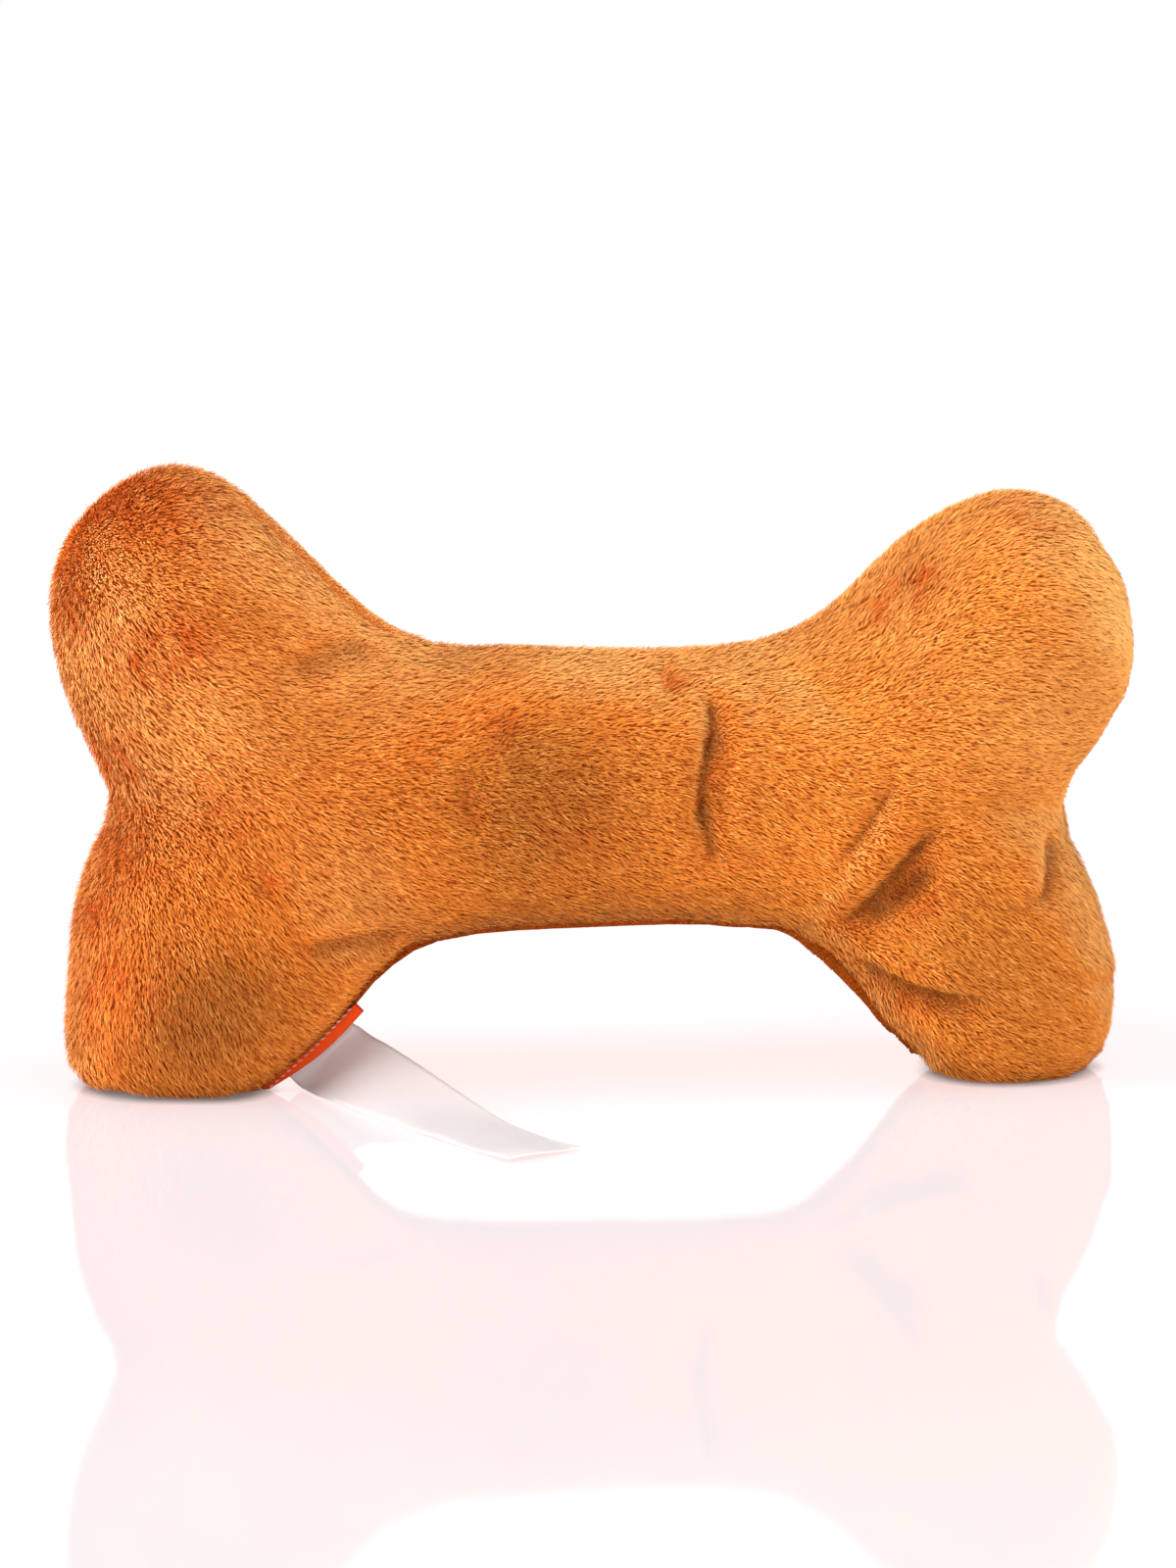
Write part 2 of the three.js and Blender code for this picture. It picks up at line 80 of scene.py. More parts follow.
# Where the labels leave the seam, the seam's run there and the way that they stand out
TAB_HINGE = next(joint for joint in frame["joints"] if joint["name"] == "tab_flap")
LABEL_ROOT = Vector(TAB_HINGE["pos_m"])
LABEL_ALONG = -Vector(TAB_HINGE["axis"]).normalized()
LABEL_OUT = Vector((LABEL_ALONG.z, 0, -LABEL_ALONG.x)).normalized()

# The ribbon's middle line from its bend to its end, as shares of its run and its drop,
# and how soon along its length it has twisted level
RIBBON_DROP_SHARES = [(0.12, 0.27), (0.45, 0.78), (0.8, 0.98)]
RIBBON_TWIST_SHARE = 1.4

# Creases and dents: where they show on the seam's plane from the picture's side, as
# (x, z) in millimetres, with the half width, the depth, and the height and place of the
# ridge that the cloth pushes up beside it (positive is to the left of the line's run)
FRONT_FOLDS = [
    ("crease top", [(25, 96), (27, 90.3), (27.5, 84.6), (26.4, 77)], 2.4, 2.5, 0.5, -6.0),
    ("crease middle", [(27.4, 89), (26.2, 79), (25, 72), (24.9, 65), (26.2, 57)], 2.5, 2.6, 1.0, -6.4),
    ("crease low", [(24.6, 69), (25.2, 63), (26.6, 57), (27.2, 50)], 2.4, 2.0, 0.5, -6.0),
    ("crease side", [(30, 94), (29.6, 78), (28.6, 58)], 3.4, 1.3, 0.0, 1.0),
    ("crease tail", [(27.5, 56), (31, 49)], 1.9, 0.9, 0.3, 4.0),
    ("upper dent", [(16.6, 104), (14.7, 99.6), (15.4, 95.4), (18.8, 92.6)], 1.6, 0.9, 0.3, 4.2),
    ("crease pucker", [(41, 96), (39, 90), (35, 86)], 2.4, 0.7, 0.3, 4.4),
    ("low pucker", [(41, 60), (38, 53), (33, 48)], 2.4, 0.7, 0.3, 4.4),
    ("waist band", [(-25.6, 93), (-25.6, 84), (-25, 73)], 2.4, 0.8, 0.3, 4.4),
    ("waist dent", [(-33.8, 78), (-33.2, 68), (-31.6, 58)], 2.8, 1.0, 0.3, 5.4),
    ("right pucker", [(75, 75.4), (68.2, 63.3), (62.5, 55.3), (57, 48)], 2.6, 1.7, 0.7, 5.4),
    (
        "right valley",
        [(89, 64), (79.9, 56), (75, 50.2), (68, 42.6), (61, 37), (52, 33.4)],
        2.6, 3.2, 1.7, -6.0,
    ),
    ("valley side", [(86, 55), (79, 46.5), (71, 40), (60, 35)], 4.4, 2.8, 0.0, 1.0),
    (
        "right fold",
        [(49, 33), (61.6, 28.2), (68.6, 24.8), (76, 20.9), (85, 17.8), (101, 14.2)],
        1.9, 4.4, 2.6, 4.6,
    ),
    (
        "under right fold",
        [(52, 30.5), (62, 25.6), (70, 21.6), (79, 17.6), (89, 14.8), (100, 12)],
        3.0, 3.2, 0.0, 1.0,
    ),
    ("right nip", [(112, 62), (113, 49), (110.4, 37)], 2.5, 1.9, 1.1, -6.0),
    ("nip tail", [(112, 44.5), (107.5, 40.4), (101, 37)], 2.2, 0.7, 0.4, -4.2),
    ("right edge nick", [(116, 18.6), (125, 20.6), (135, 22.4)], 2.2, 0.6, 0.3, 4.4),
    ("right brow", [(77, 121), (72, 116), (66.5, 111.5)], 2.8, 1.0, 0.4, 5.0),
    ("left dimple", [(-83.1, 55), (-83.2, 45)], 2.4, 1.0, 0.3, 5.0),
    ("left crease", [(-79, 31.4), (-62.3, 34.4), (-42, 35.8)], 3.2, 1.6, 0.8, 6.0),
    ("left shoulder", [(-80, 97), (-66.5, 103.7), (-50, 106.4)], 5.5, 1.6, 0.0, 1.0),
]
BACK_FOLDS = [
    ("back crease", [(-12, 97), (-14.5, 84), (-11, 70), (-13, 55)], 1.9, 2.6, 0.8, 5.0),
    ("back pucker", [(22, 60), (27, 50), (36, 43)], 2.2, 1.6, 0.5, 5.0),
    ("back left fold", [(-62, 36), (-72, 45), (-78, 58)], 3.0, 2.0, 0.6, 6.0),
    ("back right fold", [(60, 110), (72, 103), (80, 92)], 2.6, 1.6, 0.5, 6.0),
    ("back foot fold", [(66, 24), (80, 20), (93, 21)], 2.4, 1.6, 0.5, 5.0),
]
FOLDS = {FRONT: FRONT_FOLDS, BACK: BACK_FOLDS}

# Where the back panel stands out beyond the seam, seen from the front: the seam's run
# there in the same millimetres, and how far the seam is drawn in
SEAM_ROLLS = [
    ([(-94, 147), (-85, 142), (-73.4, 130.6), (-63.9, 122.8), (-54.5, 115), (-44, 109)], 2.2),
    ([(130, 92), (125.2, 82.1), (117.2, 70.7), (114, 64)], 1.7),
]

# Patches of brushed-up, redder pile in the same millimetres: place, radius, share
RUFFLED = [
    ((-108, 140), 12, 0.75),
    ((-95, 144), 9, 0.45),
    ((-126, 120), 12, 0.6),
    ((-111, 106), 10, 0.6),
    ((-101, 111), 8, 0.6),
    ((-122, 78), 11, 0.7),
    ((-117, 60), 12, 0.75),
    ((-124, 44), 9, 0.6),
    ((-119, 24), 14, 0.5),
    ((-83, 50), 3.2, 0.9),
    ((-93, 66), 9, 0.35),
    ((-25, 86), 5, 0.4),
    ((-32.6, 67), 3.4, 0.7),
    ((-45, 80), 8, 0.15),
    ((17.6, 97), 3.2, 0.4),
    ((32.5, 84), 5, 0.15),
    ((31.5, 74), 5, 0.15),
    ((77, 121), 6.5, 0.8),
    ((67.6, 112.5), 5, 0.7),
    ((106, 138), 9, 0.5),
    ((78, 45), 7, 0.55),
    ((60, 36), 6, 0.4),
    ((76, 56), 6, 0.35),
    ((-5, 62), 14, 0.25),
    ((72, 16), 9, 0.35),
]

# Where the outline is a little fuller than its pattern, or slacker below zero: the place in
# the same millimetres, the radius and how far
OUTLINE_NUDGES = [
    ((127, 131), 9, -1.5),
    ((133, 115), 10, -0.9),
    ((131, 15), 8, -1.1),
    ((-131, 26), 9, -0.6),
    ((-127, 4), 7, 1.2),
    ((-121, 80), 8, 0.8),
    ((-128, 134), 9, 0.8),
    ((-22, 107), 14, 1.1),
    ((48, 34), 8, -2.1),
    ((58, 24), 8, -0.9),
    ((66, 15), 9, -1.4),
    ((-71, 12), 12, 0.7),
    ((78, 3), 7, -1.6),
    ((131, 4), 8, -1.0),
]

# Where a foot spreads on the floor under the toy's weight, told in the same way
SPREAD_FEET = [((102, 3), 18, 4.2)]

# Wide patches of painted light, or of painted shade below zero
PAINTED_LIGHT_PATCHES = [
    ((-14, 72), 27, -0.9),
    ((-5, 56), 16, 0.2),
    ((-5, 103), 14, 0.5),
    ((-98, 92), 22, 0.45),
    ((-120, 74), 12, 0.4),
    ((-124, 118), 13, 0.9),
    ((90, 98), 30, 0.05),
    ((112, 84), 20, 0.3),
    ((-60, 46), 20, 0.3),
    ((98, 28), 26, -0.4),
    ((-84, 110), 16, -0.15),
    ((-98, 16), 22, -0.9),
    ((128, 108), 12, 0.3),
]

# Which way the pile is combed, in degrees from level, at places in the same millimetres
COMBED = [
    ((-25, 98), 26),
    ((10, 98), 20),
    ((-30, 84), 18),
    ((-30, 70), -8),
    ((10, 76), -14),
    ((-10, 58), -30),
    ((-45, 50), -30),
    ((45, 66), -26),
    ((40, 84), -8),
    ((50, 96), 8),
    ((72, 104), 32),
    ((84, 116), 28),
    ((100, 112), -6),
    ((112, 130), -10),
    ((115, 85), -20),
    ((92, 72), -10),
    ((100, 35), -36),
    ((118, 26), -34),
    ((100, 12), -22),
    ((74, 20), -48),
    ((72, 34), -24),
    ((-58, 104), 30),
    ((-60, 84), 6),
    ((-80, 112), -16),
    ((-96, 126), -20),
    ((-82, 78), -22),
    ((-96, 88), -22),
    ((-104, 74), -8),
    ((-84, 56), -48),
    ((-62, 44), -32),
    ((-88, 34), -60),
    ((-70, 22), -32),
    ((-100, 14), -74),
    ((-114, 22), -80),
    ((-122, 112), -48),
    ((-120, 60), -72),
    ((-108, 142), -26),
    ((-88, 140), -30),
]


def srgb(red, green, blue):
    """Linear colour with alpha from the three levels, 0 to 255, that a picture shows."""
    levels = np.array([red, green, blue]) / 255
    linear = np.where(levels <= 0.04045, levels / 12.92, ((levels + 0.055) / 1.055) ** 2.4)
    return (*[float(x) for x in linear], 1.0)


def length_setting(name, description, millimetres):
    """Setting that holds a length."""
    return bpy.props.FloatProperty(
        name=name, description=description, default=millimetres * MM, unit="LENGTH"
    )


def colour_setting(name, description, *levels):
    """Setting that holds a colour, its default given in the levels of a picture."""
    return bpy.props.FloatVectorProperty(
        name=name, description=description, default=srgb(*levels), size=4, subtype="COLOR"
    )


class PlushSettings(bpy.types.PropertyGroup):
    """Sizes and colours of the plush and its pile."""

    backing_depth: length_setting(
        "Backing depth", "How far the knitted backing lies under the tips of the pile", 0.95
    )
    cloth_cell: length_setting(
        "Cloth cell", "Edge length of the cells that the cloth is puffed up with", 3.4
    )
    swell: length_setting("Swell", "How far the stuffing may push the cloth out of its sewn shape", 2.2)
    slack: bpy.props.FloatProperty(
        name="Slack",
        description="Share of its own shape that the puffed cloth keeps, against the pattern's",
        default=0.3,
        subtype="FACTOR",
    )
    seam_depth: length_setting("Seam depth", "How far the seam pulls the cloth in", 1.0)
    allowance: length_setting(
        "Seam allowance", "Width of the edge that is turned in behind the seam", 4
    )
    pile_length: length_setting("Pile length", "Length of a tuft of the pile", 2.6)
    pile_width: length_setting("Tuft width", "Width of a tuft of the pile", 0.38)
    pile_spacing: length_setting("Tuft spacing", "Least distance between the roots of two tufts", 0.36)
    lock_scale: bpy.props.FloatProperty(
        name="Lock scale",
        description="How many times in a metre the pile gathers in locks",
        default=1250.0,
    )
    lock_length: length_setting("Lock length", "Length of a lock of the pile along its lay", 2.2)
    # Painted shade: the root colour stands in for the shade down between the tufts, towards each tuft's
    # root and in the gaps between the locks
    root: colour_setting("Root colour", "Colour down between the tufts", 178, 66, 10)
    tip: colour_setting("Tip colour", "Colour of the tips of the tufts", 235, 140, 48)
    # Painted sheen: the pale colour is mixed into the tips where the painted light is strong, and into
    # the lightest locks as a painted highlight
    pale: colour_setting(
        "Pale colour",
        "Lighter, yellower colour where the nap lies flat and throws back the light",
        255, 198, 112,
    )
    ruffled: colour_setting(
        "Ruffled colour", "Redder colour where the pile is brushed up and shows its depth", 220, 101, 26
    )


class LabelSettings(bpy.types.PropertyGroup):
    """Sizes and colours of the two labels."""

    sewn_in: length_setting("Sewn in", "How far a label goes on into the seam", 2.4)
    layer_gap: length_setting("Layer gap", "Distance from the tab's back layer to the ribbon", 0.6)
    ribbon_width: length_setting("Ribbon width", "Width of the satin care label", 20)
    ribbon_thickness: length_setting("Ribbon thickness", "Thickness of the satin", 0.18)
    ribbon_free_run: length_setting(
        "Ribbon free run", "Straight run of the ribbon before it bends down", 5.6
    )
    ribbon_reach: bpy.props.FloatVectorProperty(
        name="Ribbon reach",
        description="How far the ribbon's end lies to the right of and in front of its root",
        default=(49 * MM, 78 * MM),
        size=2,
        unit="LENGTH",
    )
    ribbon_shift: length_setting(
        "Ribbon shift", "How far down the seam the ribbon's middle lies from its hinge", 1.0
    )
    ribbon_curl: length_setting("Ribbon curl", "How far the ribbon's end lifts off the floor", 0.3)
    tab_length: length_setting("Tab length", "Length of the woven tab along the seam", 31)
    tab_shift: length_setting(
        "Tab shift", "How far down the seam the tab's middle lies from its hinge", 2.4
    )
    tab_reach: length_setting(
        "Tab reach", "How far the tab stands out of the seam at its upper end", 3.4
    )
    tab_bow: length_setting("Tab bow", "How far the tab's outer edge bows out in its middle", 1.5)
    tab_fabric: length_setting("Tab fabric", "Thickness of one layer of the tab", 0.36)
    tab_layer_gap: length_setting("Tab layer gap", "Distance between the tab's two layers", 0.3)
    stitch_pitch: length_setting("Stitch pitch", "Distance between the stitches along the tab", 1.9)
    satin: colour_setting("Satin colour", "Colour of the care label", 255, 240, 243)
    tab: colour_setting("Tab colour", "Colour of the woven tab", 255, 86, 20)
    stitch: colour_setting("Tab stitch colour", "Colour of the stitches along the tab", 246, 230, 226)


class InsideSettings(bpy.types.PropertyGroup):
    """Sizes and colours of the stuffing, the thread and the squeaker."""

    fibre_inset: length_setting(
        "Fibre inset", "How far the gathered fibre keeps inside its room, clear of the folds", 3.2
    )
    fibre_lump: length_setting("Fibre lump", "Height of the lumps of the fibre", 1.3)
    stitch_sunk: length_setting(
        "Stitch sunk", "How far the closing stitch is drawn up into the seam", 1.7
    )
    fibre: colour_setting("Fibre colour", "Colour of the stuffing", 243, 241, 236)
    thread: colour_setting("Thread colour", "Colour of the sewing thread", 206, 112, 44)
    bulb: colour_setting("Bulb colour", "Colour of the squeaker's soft bulb and plug", 240, 237, 226)
    reed: colour_setting("Reed colour", "Colour of the squeaker's reed", 222, 219, 209)


class StudioSettings(bpy.types.PropertyGroup):
    """Camera and light."""

    camera_place: bpy.props.FloatVectorProperty(
        name="Camera place",
        description="Where the camera stands",
        default=(-0.1026, -0.8664, 0.1906),
        subtype="TRANSLATION",
        unit="LENGTH",
    )
    camera_turn: bpy.props.FloatProperty(
        name="Camera turn",
        description="How far the camera looks to the right of straight ahead",
        default=math.radians(6.378),
        subtype="ANGLE",
    )
    camera_drop: bpy.props.FloatProperty(
        name="Camera drop",
        description="How far the camera looks down",
        default=math.radians(7.5),
        subtype="ANGLE",
    )
    lens: bpy.props.FloatProperty(
        name="Lens",
        description="Focal length in millimetres on a 36 mm long side",
        default=85.1,
    )
    sky: bpy.props.FloatProperty(
        name="Sky",
        description="Strength of the white light from all round",
        default=0.28,
    )
    mirror: bpy.props.FloatProperty(
        name="Mirror",
        description="Share of the picture that the glossy table throws back",
        default=0.2,
        subtype="FACTOR",
    )


# Meshes


def placed(name, mesh):
    """New object of a mesh, at the origin."""
    obj = bpy.data.objects.new(name, mesh)
    bpy.context.scene.collection.objects.link(obj)
    return obj


def from_bmesh(name, bm):
    mesh = bpy.data.meshes.new(name)
    bm.to_mesh(mesh)
    bm.free()
    return placed(name, mesh)


def settle(obj):
    """Makes what the modifiers show the object's own mesh."""
    graph = bpy.context.evaluated_depsgraph_get()
    mesh = bpy.data.meshes.new_from_object(obj.evaluated_get(graph))
    obj.modifiers.clear()
    obj.data = mesh


def modify(obj, kind, **values):
    """Adds a modifier with these values."""
    modifier = obj.modifiers.new(kind.lower(), kind)
    for name, value in values.items():
        setattr(modifier, name, value)
    return modifier


def welded(*nodes):
    """Merged copy of CAD nodes' meshes."""
    bm = bmesh.new()
    for node in nodes:
        bm.from_mesh(frame["nodes"][node].data)
    bmesh.ops.remove_doubles(bm, verts=bm.verts, dist=WELD)
    return bm


def islands(bm):
    """The connected parts of a mesh, each a list of vertices, largest first."""
    left = set(bm.verts)
    parts = []
    while left:
        part = [left.pop()]
        for vert in part:
            for edge in vert.link_edges:
                other = edge.other_vert(vert)
                if other in left:
                    left.remove(other)
                    part.append(other)
        parts.append(part)
    return sorted(parts, key=len, reverse=True)


def even_shell(name, nodes, cell):
    """Outer shell of some CAD nodes in even four-sided cells."""
    obj = from_bmesh(name, welded(*nodes))
    modify(obj, "REMESH", mode="VOXEL", voxel_size=cell, use_smooth_shade=True)
    settle(obj)
    bm = bmesh.new()
    bm.from_mesh(obj.data)
    inner = [vert for part in islands(bm)[1:] for vert in part]
    bmesh.ops.delete(bm, geom=inner, context="VERTS")
    bm.to_mesh(obj.data)
    bm.free()
    return obj


def places_of(mesh):
    flat = np.empty(len(mesh.vertices) * 3, np.float32)
    mesh.vertices.foreach_get("co", flat)
    return flat.reshape(-1, 3).astype(float)


def normals_of(mesh):
    flat = np.empty(len(mesh.vertices) * 3, np.float32)
    mesh.vertex_normals.foreach_get("vector", flat)
    return flat.reshape(-1, 3).astype(float)


def move_to(mesh, co):
    mesh.vertices.foreach_set("co", co.astype(np.float32).ravel())
    mesh.update()


def store(mesh, name, values):
    """Keeps a number or a direction for each vertex of a mesh."""
    kind = "FLOAT_VECTOR" if values.ndim == 2 else "FLOAT"
    attribute = mesh.attributes.new(name, kind, "POINT")
    field = "vector" if values.ndim == 2 else "value"
    attribute.data.foreach_set(field, values.astype(np.float32).ravel())


def smooth_step(share):
    share = np.clip(share, 0, 1)
    return share * share * (3 - 2 * share)


def ramp(values, start, width):
    """Soft rise from 0 to 1 that begins at a start and takes a width."""
    return smooth_step((values - start) / width)


def bell(off, width):
    """Round rise: 1 in its middle and falling away over a width."""
    return np.exp(-((off / width) ** 2))


def reach_from(spot, places):
    """How far places lie from one spot."""
    return np.hypot(places[:, 0] - spot[0], places[:, 1] - spot[1])


def unit(vectors):
    return vectors / np.maximum(np.linalg.norm(vectors, axis=-1, keepdims=True), 1e-12)


def shown_places(co, eye):
    """Where points show on the seam's plane from the camera, as (x, z) in millimetres."""
    ray = co - eye
    share = (SEAM_PLANE_Y - eye[1]) / ray[:, 1]
    return (eye + ray * share[:, None])[:, [0, 2]] / MM


def fold_places(co, side, eye):
    """The (x, z) that the tables of one side's folds and patches are written in."""
    return shown_places(co, eye) if side == FRONT else co[:, [0, 2]] / MM


def across_line(places, line):
    """Distance of places from a line, positive to its left, and their share along it."""
    line = np.array(line, float)
    steps = np.diff(line, axis=0)
    lengths = np.linalg.norm(steps, axis=1)
    ahead = np.concatenate([[0], np.cumsum(lengths)])
    best = np.full(len(places), np.inf)
    signed = np.zeros(len(places))
    along = np.zeros(len(places))
    for start, step, length, before in zip(line[:-1], steps, lengths, ahead):
        run = step / length
        off = places - start
        share = np.clip(off @ run, 0, length)
        gap = off - share[:, None] * run
        distance = np.linalg.norm(gap, axis=1)
        nearer = distance < best
        best = np.where(nearer, distance, best)
        side = np.sign(run[0] * gap[:, 1] - run[1] * gap[:, 0])
        signed = np.where(nearer, side * distance, signed)
        along = np.where(nearer, (before + share) / ahead[-1], along)
    return signed, along


def smooth_line(points, count):
    """Points evenly spaced along the round curve through some points."""
    ends = [2 * points[0] - points[1], *points, 2 * points[-1] - points[-2]]
    fine = [points[0]]
    for before, start, end, after in zip(ends, ends[1:], ends[2:], ends[3:]):
        first, span, last = (
            math.sqrt((b - a).length) for a, b in ((before, start), (start, end), (end, after))
        )
        leave = ((start - before) / first - (end - before) / (first + span)) * span + (end - start)
        reach = ((after - end) / last - (after - start) / (span + last)) * span + (end - start)
        for step in range(1, 41):
            t = step / 40
            fine.append(
                start * (2 * t**3 - 3 * t**2 + 1)
                + leave * (t**3 - 2 * t**2 + t)
                + end * (3 * t**2 - 2 * t**3)
                + reach * (t**3 - t**2)
            )
    fine = np.array([list(point) for point in fine])
    ahead = np.concatenate([[0], np.cumsum(np.linalg.norm(np.diff(fine, axis=0), axis=1))])
    even = np.linspace(0, ahead[-1], count)
    return np.stack([np.interp(even, ahead, fine[:, axis]) for axis in range(3)], axis=1)


def give_map(mesh, name, uv):
    """Adds a UV map with these places, one for each corner."""
    layer = mesh.uv_layers.new(name=name, do_init=False)
    layer.uv.foreach_set("vector", uv.astype(np.float32).ravel())


def corner_vertices(mesh):
    found = np.empty(len(mesh.loops), np.int32)
    mesh.loops.foreach_get("vertex_index", found)
    return found


def dress(obj, material):
    """Gives a whole piece one material."""
    obj.data.materials.clear()
    obj.data.materials.append(material)


# The plush

# Millimetres: how near the panels' edges lie to each other and to the outside at the seam,
# how close its points are, how far from it the cloth is held fast and then less so, how far
# from it the cells are fine, and the cells of the pattern's surface
PANEL_GAP = 0.6
SEAM_SKIN = 2.4
SEAM_STEP = 0.5
SEWN_REACH = 2
SEWN_FADE = 5
FINE_REACH = 5
PATTERN_CELL = 1.5

# Cloth's settings for tightly sewn plush, and for how many frames the stuffing pushes it
CLOTH = {
    "quality": 6,
    "mass": 0.3,
    "use_pressure": True,
    "uniform_pressure_force": 4,
    "shrink_min": -0.02,
    "tension_stiffness": 12,
    "compression_stiffness": 12,
    "bending_stiffness": 0.4,
    "vertex_group_mass": "sewn",
}
PUFF_FRAMES = 20

# Folds: the share of its run over which a fold fades at each end, the width of the ridge
# beside it in widths of the fold, and the depth in millimetres at which a fold's painted
# shade is full
FOLD_FADE_SHARE = 0.3
RIDGE_WIDTH = 1.5
SHADED_FOLD_DEPTH = 2.3

# The seam's form in millimetres: the groove's width, and the place, width and height of the
# lip beside it
GROOVE_WIDTH = 0.7
LIP_PLACE, LIP_WIDTH, LIP_RISE = 3.2, 1.9, 0.6

# Where the seam is drawn in, in millimetres: how far the pull reaches in front and behind,
# the swelling behind it with its share of the pull, and how far from the table's line it
# goes; then the share of the line over which it fades at each end
ROLL_FRONT, ROLL_BACK = 9, 2
SWELLING_SHARE, SWELLING_PLACE, SWELLING_WIDTH = 0.15, 5, 3
ROLL_REACH = 10
ROLL_FADE_SHARE = 0.2

# What the seam does, each as a plain seam has it and what is added where it is drawn in: how
# many times its depth it goes in, the width in millimetres and the painted shade of its line,
# the share of the pile's length on it, and over how many millimetres the pile grows beside it
SEAM_PULL = (1, 2)
LINE_WIDTH = (0.6, 0.25)
LINE_SHADE = (0.4, 1.0)
PILE_START = (0.5, -0.4)
PILE_GROWTH = (4.5, 3.5)

# The painted highlight on the cloth in front of a drawn-in seam: place and width in
# millimetres, and how light
HIGHLIGHT_PLACE, HIGHLIGHT_WIDTH, HIGHLIGHT_MORE = 2, 1.2, 0.6

# How much shorter the pile is in a hollow, and longer where it is brushed up
HOLLOW_LOSS, BRUSHED_GAIN = 0.4, 0.2

# How thin the cloth and its backing are pressed under the feet
FOOT_SHARE = 0.45

# How far in millimetres one combed place blends into the next, and how far the pile leans
# outwards there
COMB_BLEND = 6
COMB_LEAN = 0.25

# Share of a ruffled patch that is left on the skin's edge, and on the back
RUFFLED_EDGE_SHARE = 0.3
RUFFLED_BACK_SHARE = 0.7

# Painted light on the pile: the way that its lightest part faces, how light it is there, and
# how light at the left end
PAINTED_LIGHT_WAY = (0.6, 0, 0.8)
PAINTED_LIGHT_MOST, PAINTED_LEFT_LIGHT = 0.75, 0.5

# Where the labels press the pile down: half the place's size along the seam, out of it and
# from front to back in millimetres, and the share of the pile's length that is left
PRESSED_ALONG, PRESSED_OUT, PRESSED_DEEP = 15, 3, 2.6
PRESSED_SHARE = 0.35


def seam_line(shell):
    """Points close together along the seam where the two CAD panels meet outside."""
    surface = BVHTree.FromObject(shell, bpy.context.evaluated_depsgraph_get())
    back = BVHTree.FromBMesh(welded("back_panel"))
    bm = welded("front_panel")
    rim = set()
    for vert in bm.verts:
        meets_back = back.find_nearest(vert.co)[3] < PANEL_GAP * MM
        outside = surface.find_nearest(vert.co)[3] < SEAM_SKIN * MM
        if meets_back and outside:
            rim.add(vert)
    points = []
    for edge in bm.edges:
        first, second = edge.verts
        if first in rim and second in rim:
            count = max(1, round(edge.calc_length() / (SEAM_STEP * MM)))
            points += [first.co.lerp(second.co, k / count) for k in range(count)]
    bm.free()
    tree = KDTree(len(points))
    for index, point in enumerate(points):
        tree.insert(point, index)
    tree.balance()
    return tree


def puffed(shell, seam, plush):
    """The shell as cloth, blown up against its seam by the stuffing."""
    before = places_of(shell.data)
    held = shell.vertex_groups.new(name="sewn")
    for index, place in enumerate(before):
        gap = seam.find(Vector(place))[2]
        weight = 1 - ramp(gap, SEWN_REACH * MM, SEWN_FADE * MM)
        if weight > 0:
            held.add([index], float(weight), "REPLACE")
    settings = modify(shell, "CLOTH").settings
    for name, value in CLOTH.items():
        setattr(settings, name, value)
    settings.effector_weights.gravity = 0
    scene = bpy.context.scene
    for step in range(1, PUFF_FRAMES + 1):
        scene.frame_set(step)
    settle(shell)
    scene.frame_set(1)
    moved = places_of(shell.data) - before
    far = np.linalg.norm(moved, axis=1, keepdims=True)
    move_to(shell.data, before + moved * np.minimum(1, plush.swell / np.maximum(far, WELD)))


def sized(mesh, pattern, plush):
    """Draws the puffed cloth back towards its place under the pattern's surface."""
    co = places_of(mesh)
    normals = normals_of(mesh)
    away = np.zeros(len(co))
    for index, (place, normal) in enumerate(zip(co, normals)):
        on, _, _, gap = pattern.find_nearest(Vector(place))
        inside = (on - Vector(place)).dot(Vector(normal)) > 0
        away[index] = (gap if inside else -gap) - plush.backing_depth
    move_to(mesh, co + normals * (away * (1 - plush.slack))[:, None])


def fine_near(mesh, near):
    """Halves the cells whose corners are all near a crease or the seam."""
    bm = bmesh.new()
    bm.from_mesh(mesh)
    edges = [edge for edge in bm.edges if all(near[vert.index] for vert in edge.verts)]
    bmesh.ops.subdivide_edges(bm, edges=edges, cuts=1, smooth=0.0, use_grid_fill=True)
    bm.to_mesh(mesh)
    bm.free()


def fold_curve(line):
    """The round curve through the points of a fold."""
    return smooth_line([Vector((x, 0, z)) for x, z in line], 13)[:, [0, 2]]


def near_folds(co, normals, eye):
    near = np.zeros(len(co), bool)
    for side, folds in FOLDS.items():
        places = fold_places(co, side, eye)
        faces_side = normals[:, 1] * OUTWARD_Y[side] > -0.1
        for _, line, width, *_ in folds:
            across, _ = across_line(places, fold_curve(line))
            near |= faces_side & (np.abs(across) < 2 * width)
    return near


def folded(co, normals, side, eye):
    """Presses the folds of one side into the skin, and says how deep each point lies, which sets the
    painted shade there.
    """
    places = fold_places(co, side, eye)
    facing = ramp(normals[:, 1] * OUTWARD_Y[side], -0.1, 0.5)
    push = np.zeros(len(co))
    hollow_shade = np.zeros(len(co))
    for _, line, width, depth, ridge, ridge_place in FOLDS[side]:
        across, along = across_line(places, fold_curve(line))
        ends = ramp(np.minimum(along, 1 - along), 0, FOLD_FADE_SHARE)
        crease = bell(across, width) * ends
        bank = bell(across - ridge_place, RIDGE_WIDTH * width) * ends
        push += facing * MM * (ridge * bank - depth * crease)
        hollow_shade = np.maximum(hollow_shade, facing * crease * min(1, depth / SHADED_FOLD_DEPTH))
    return co + normals * push[:, None], hollow_shade


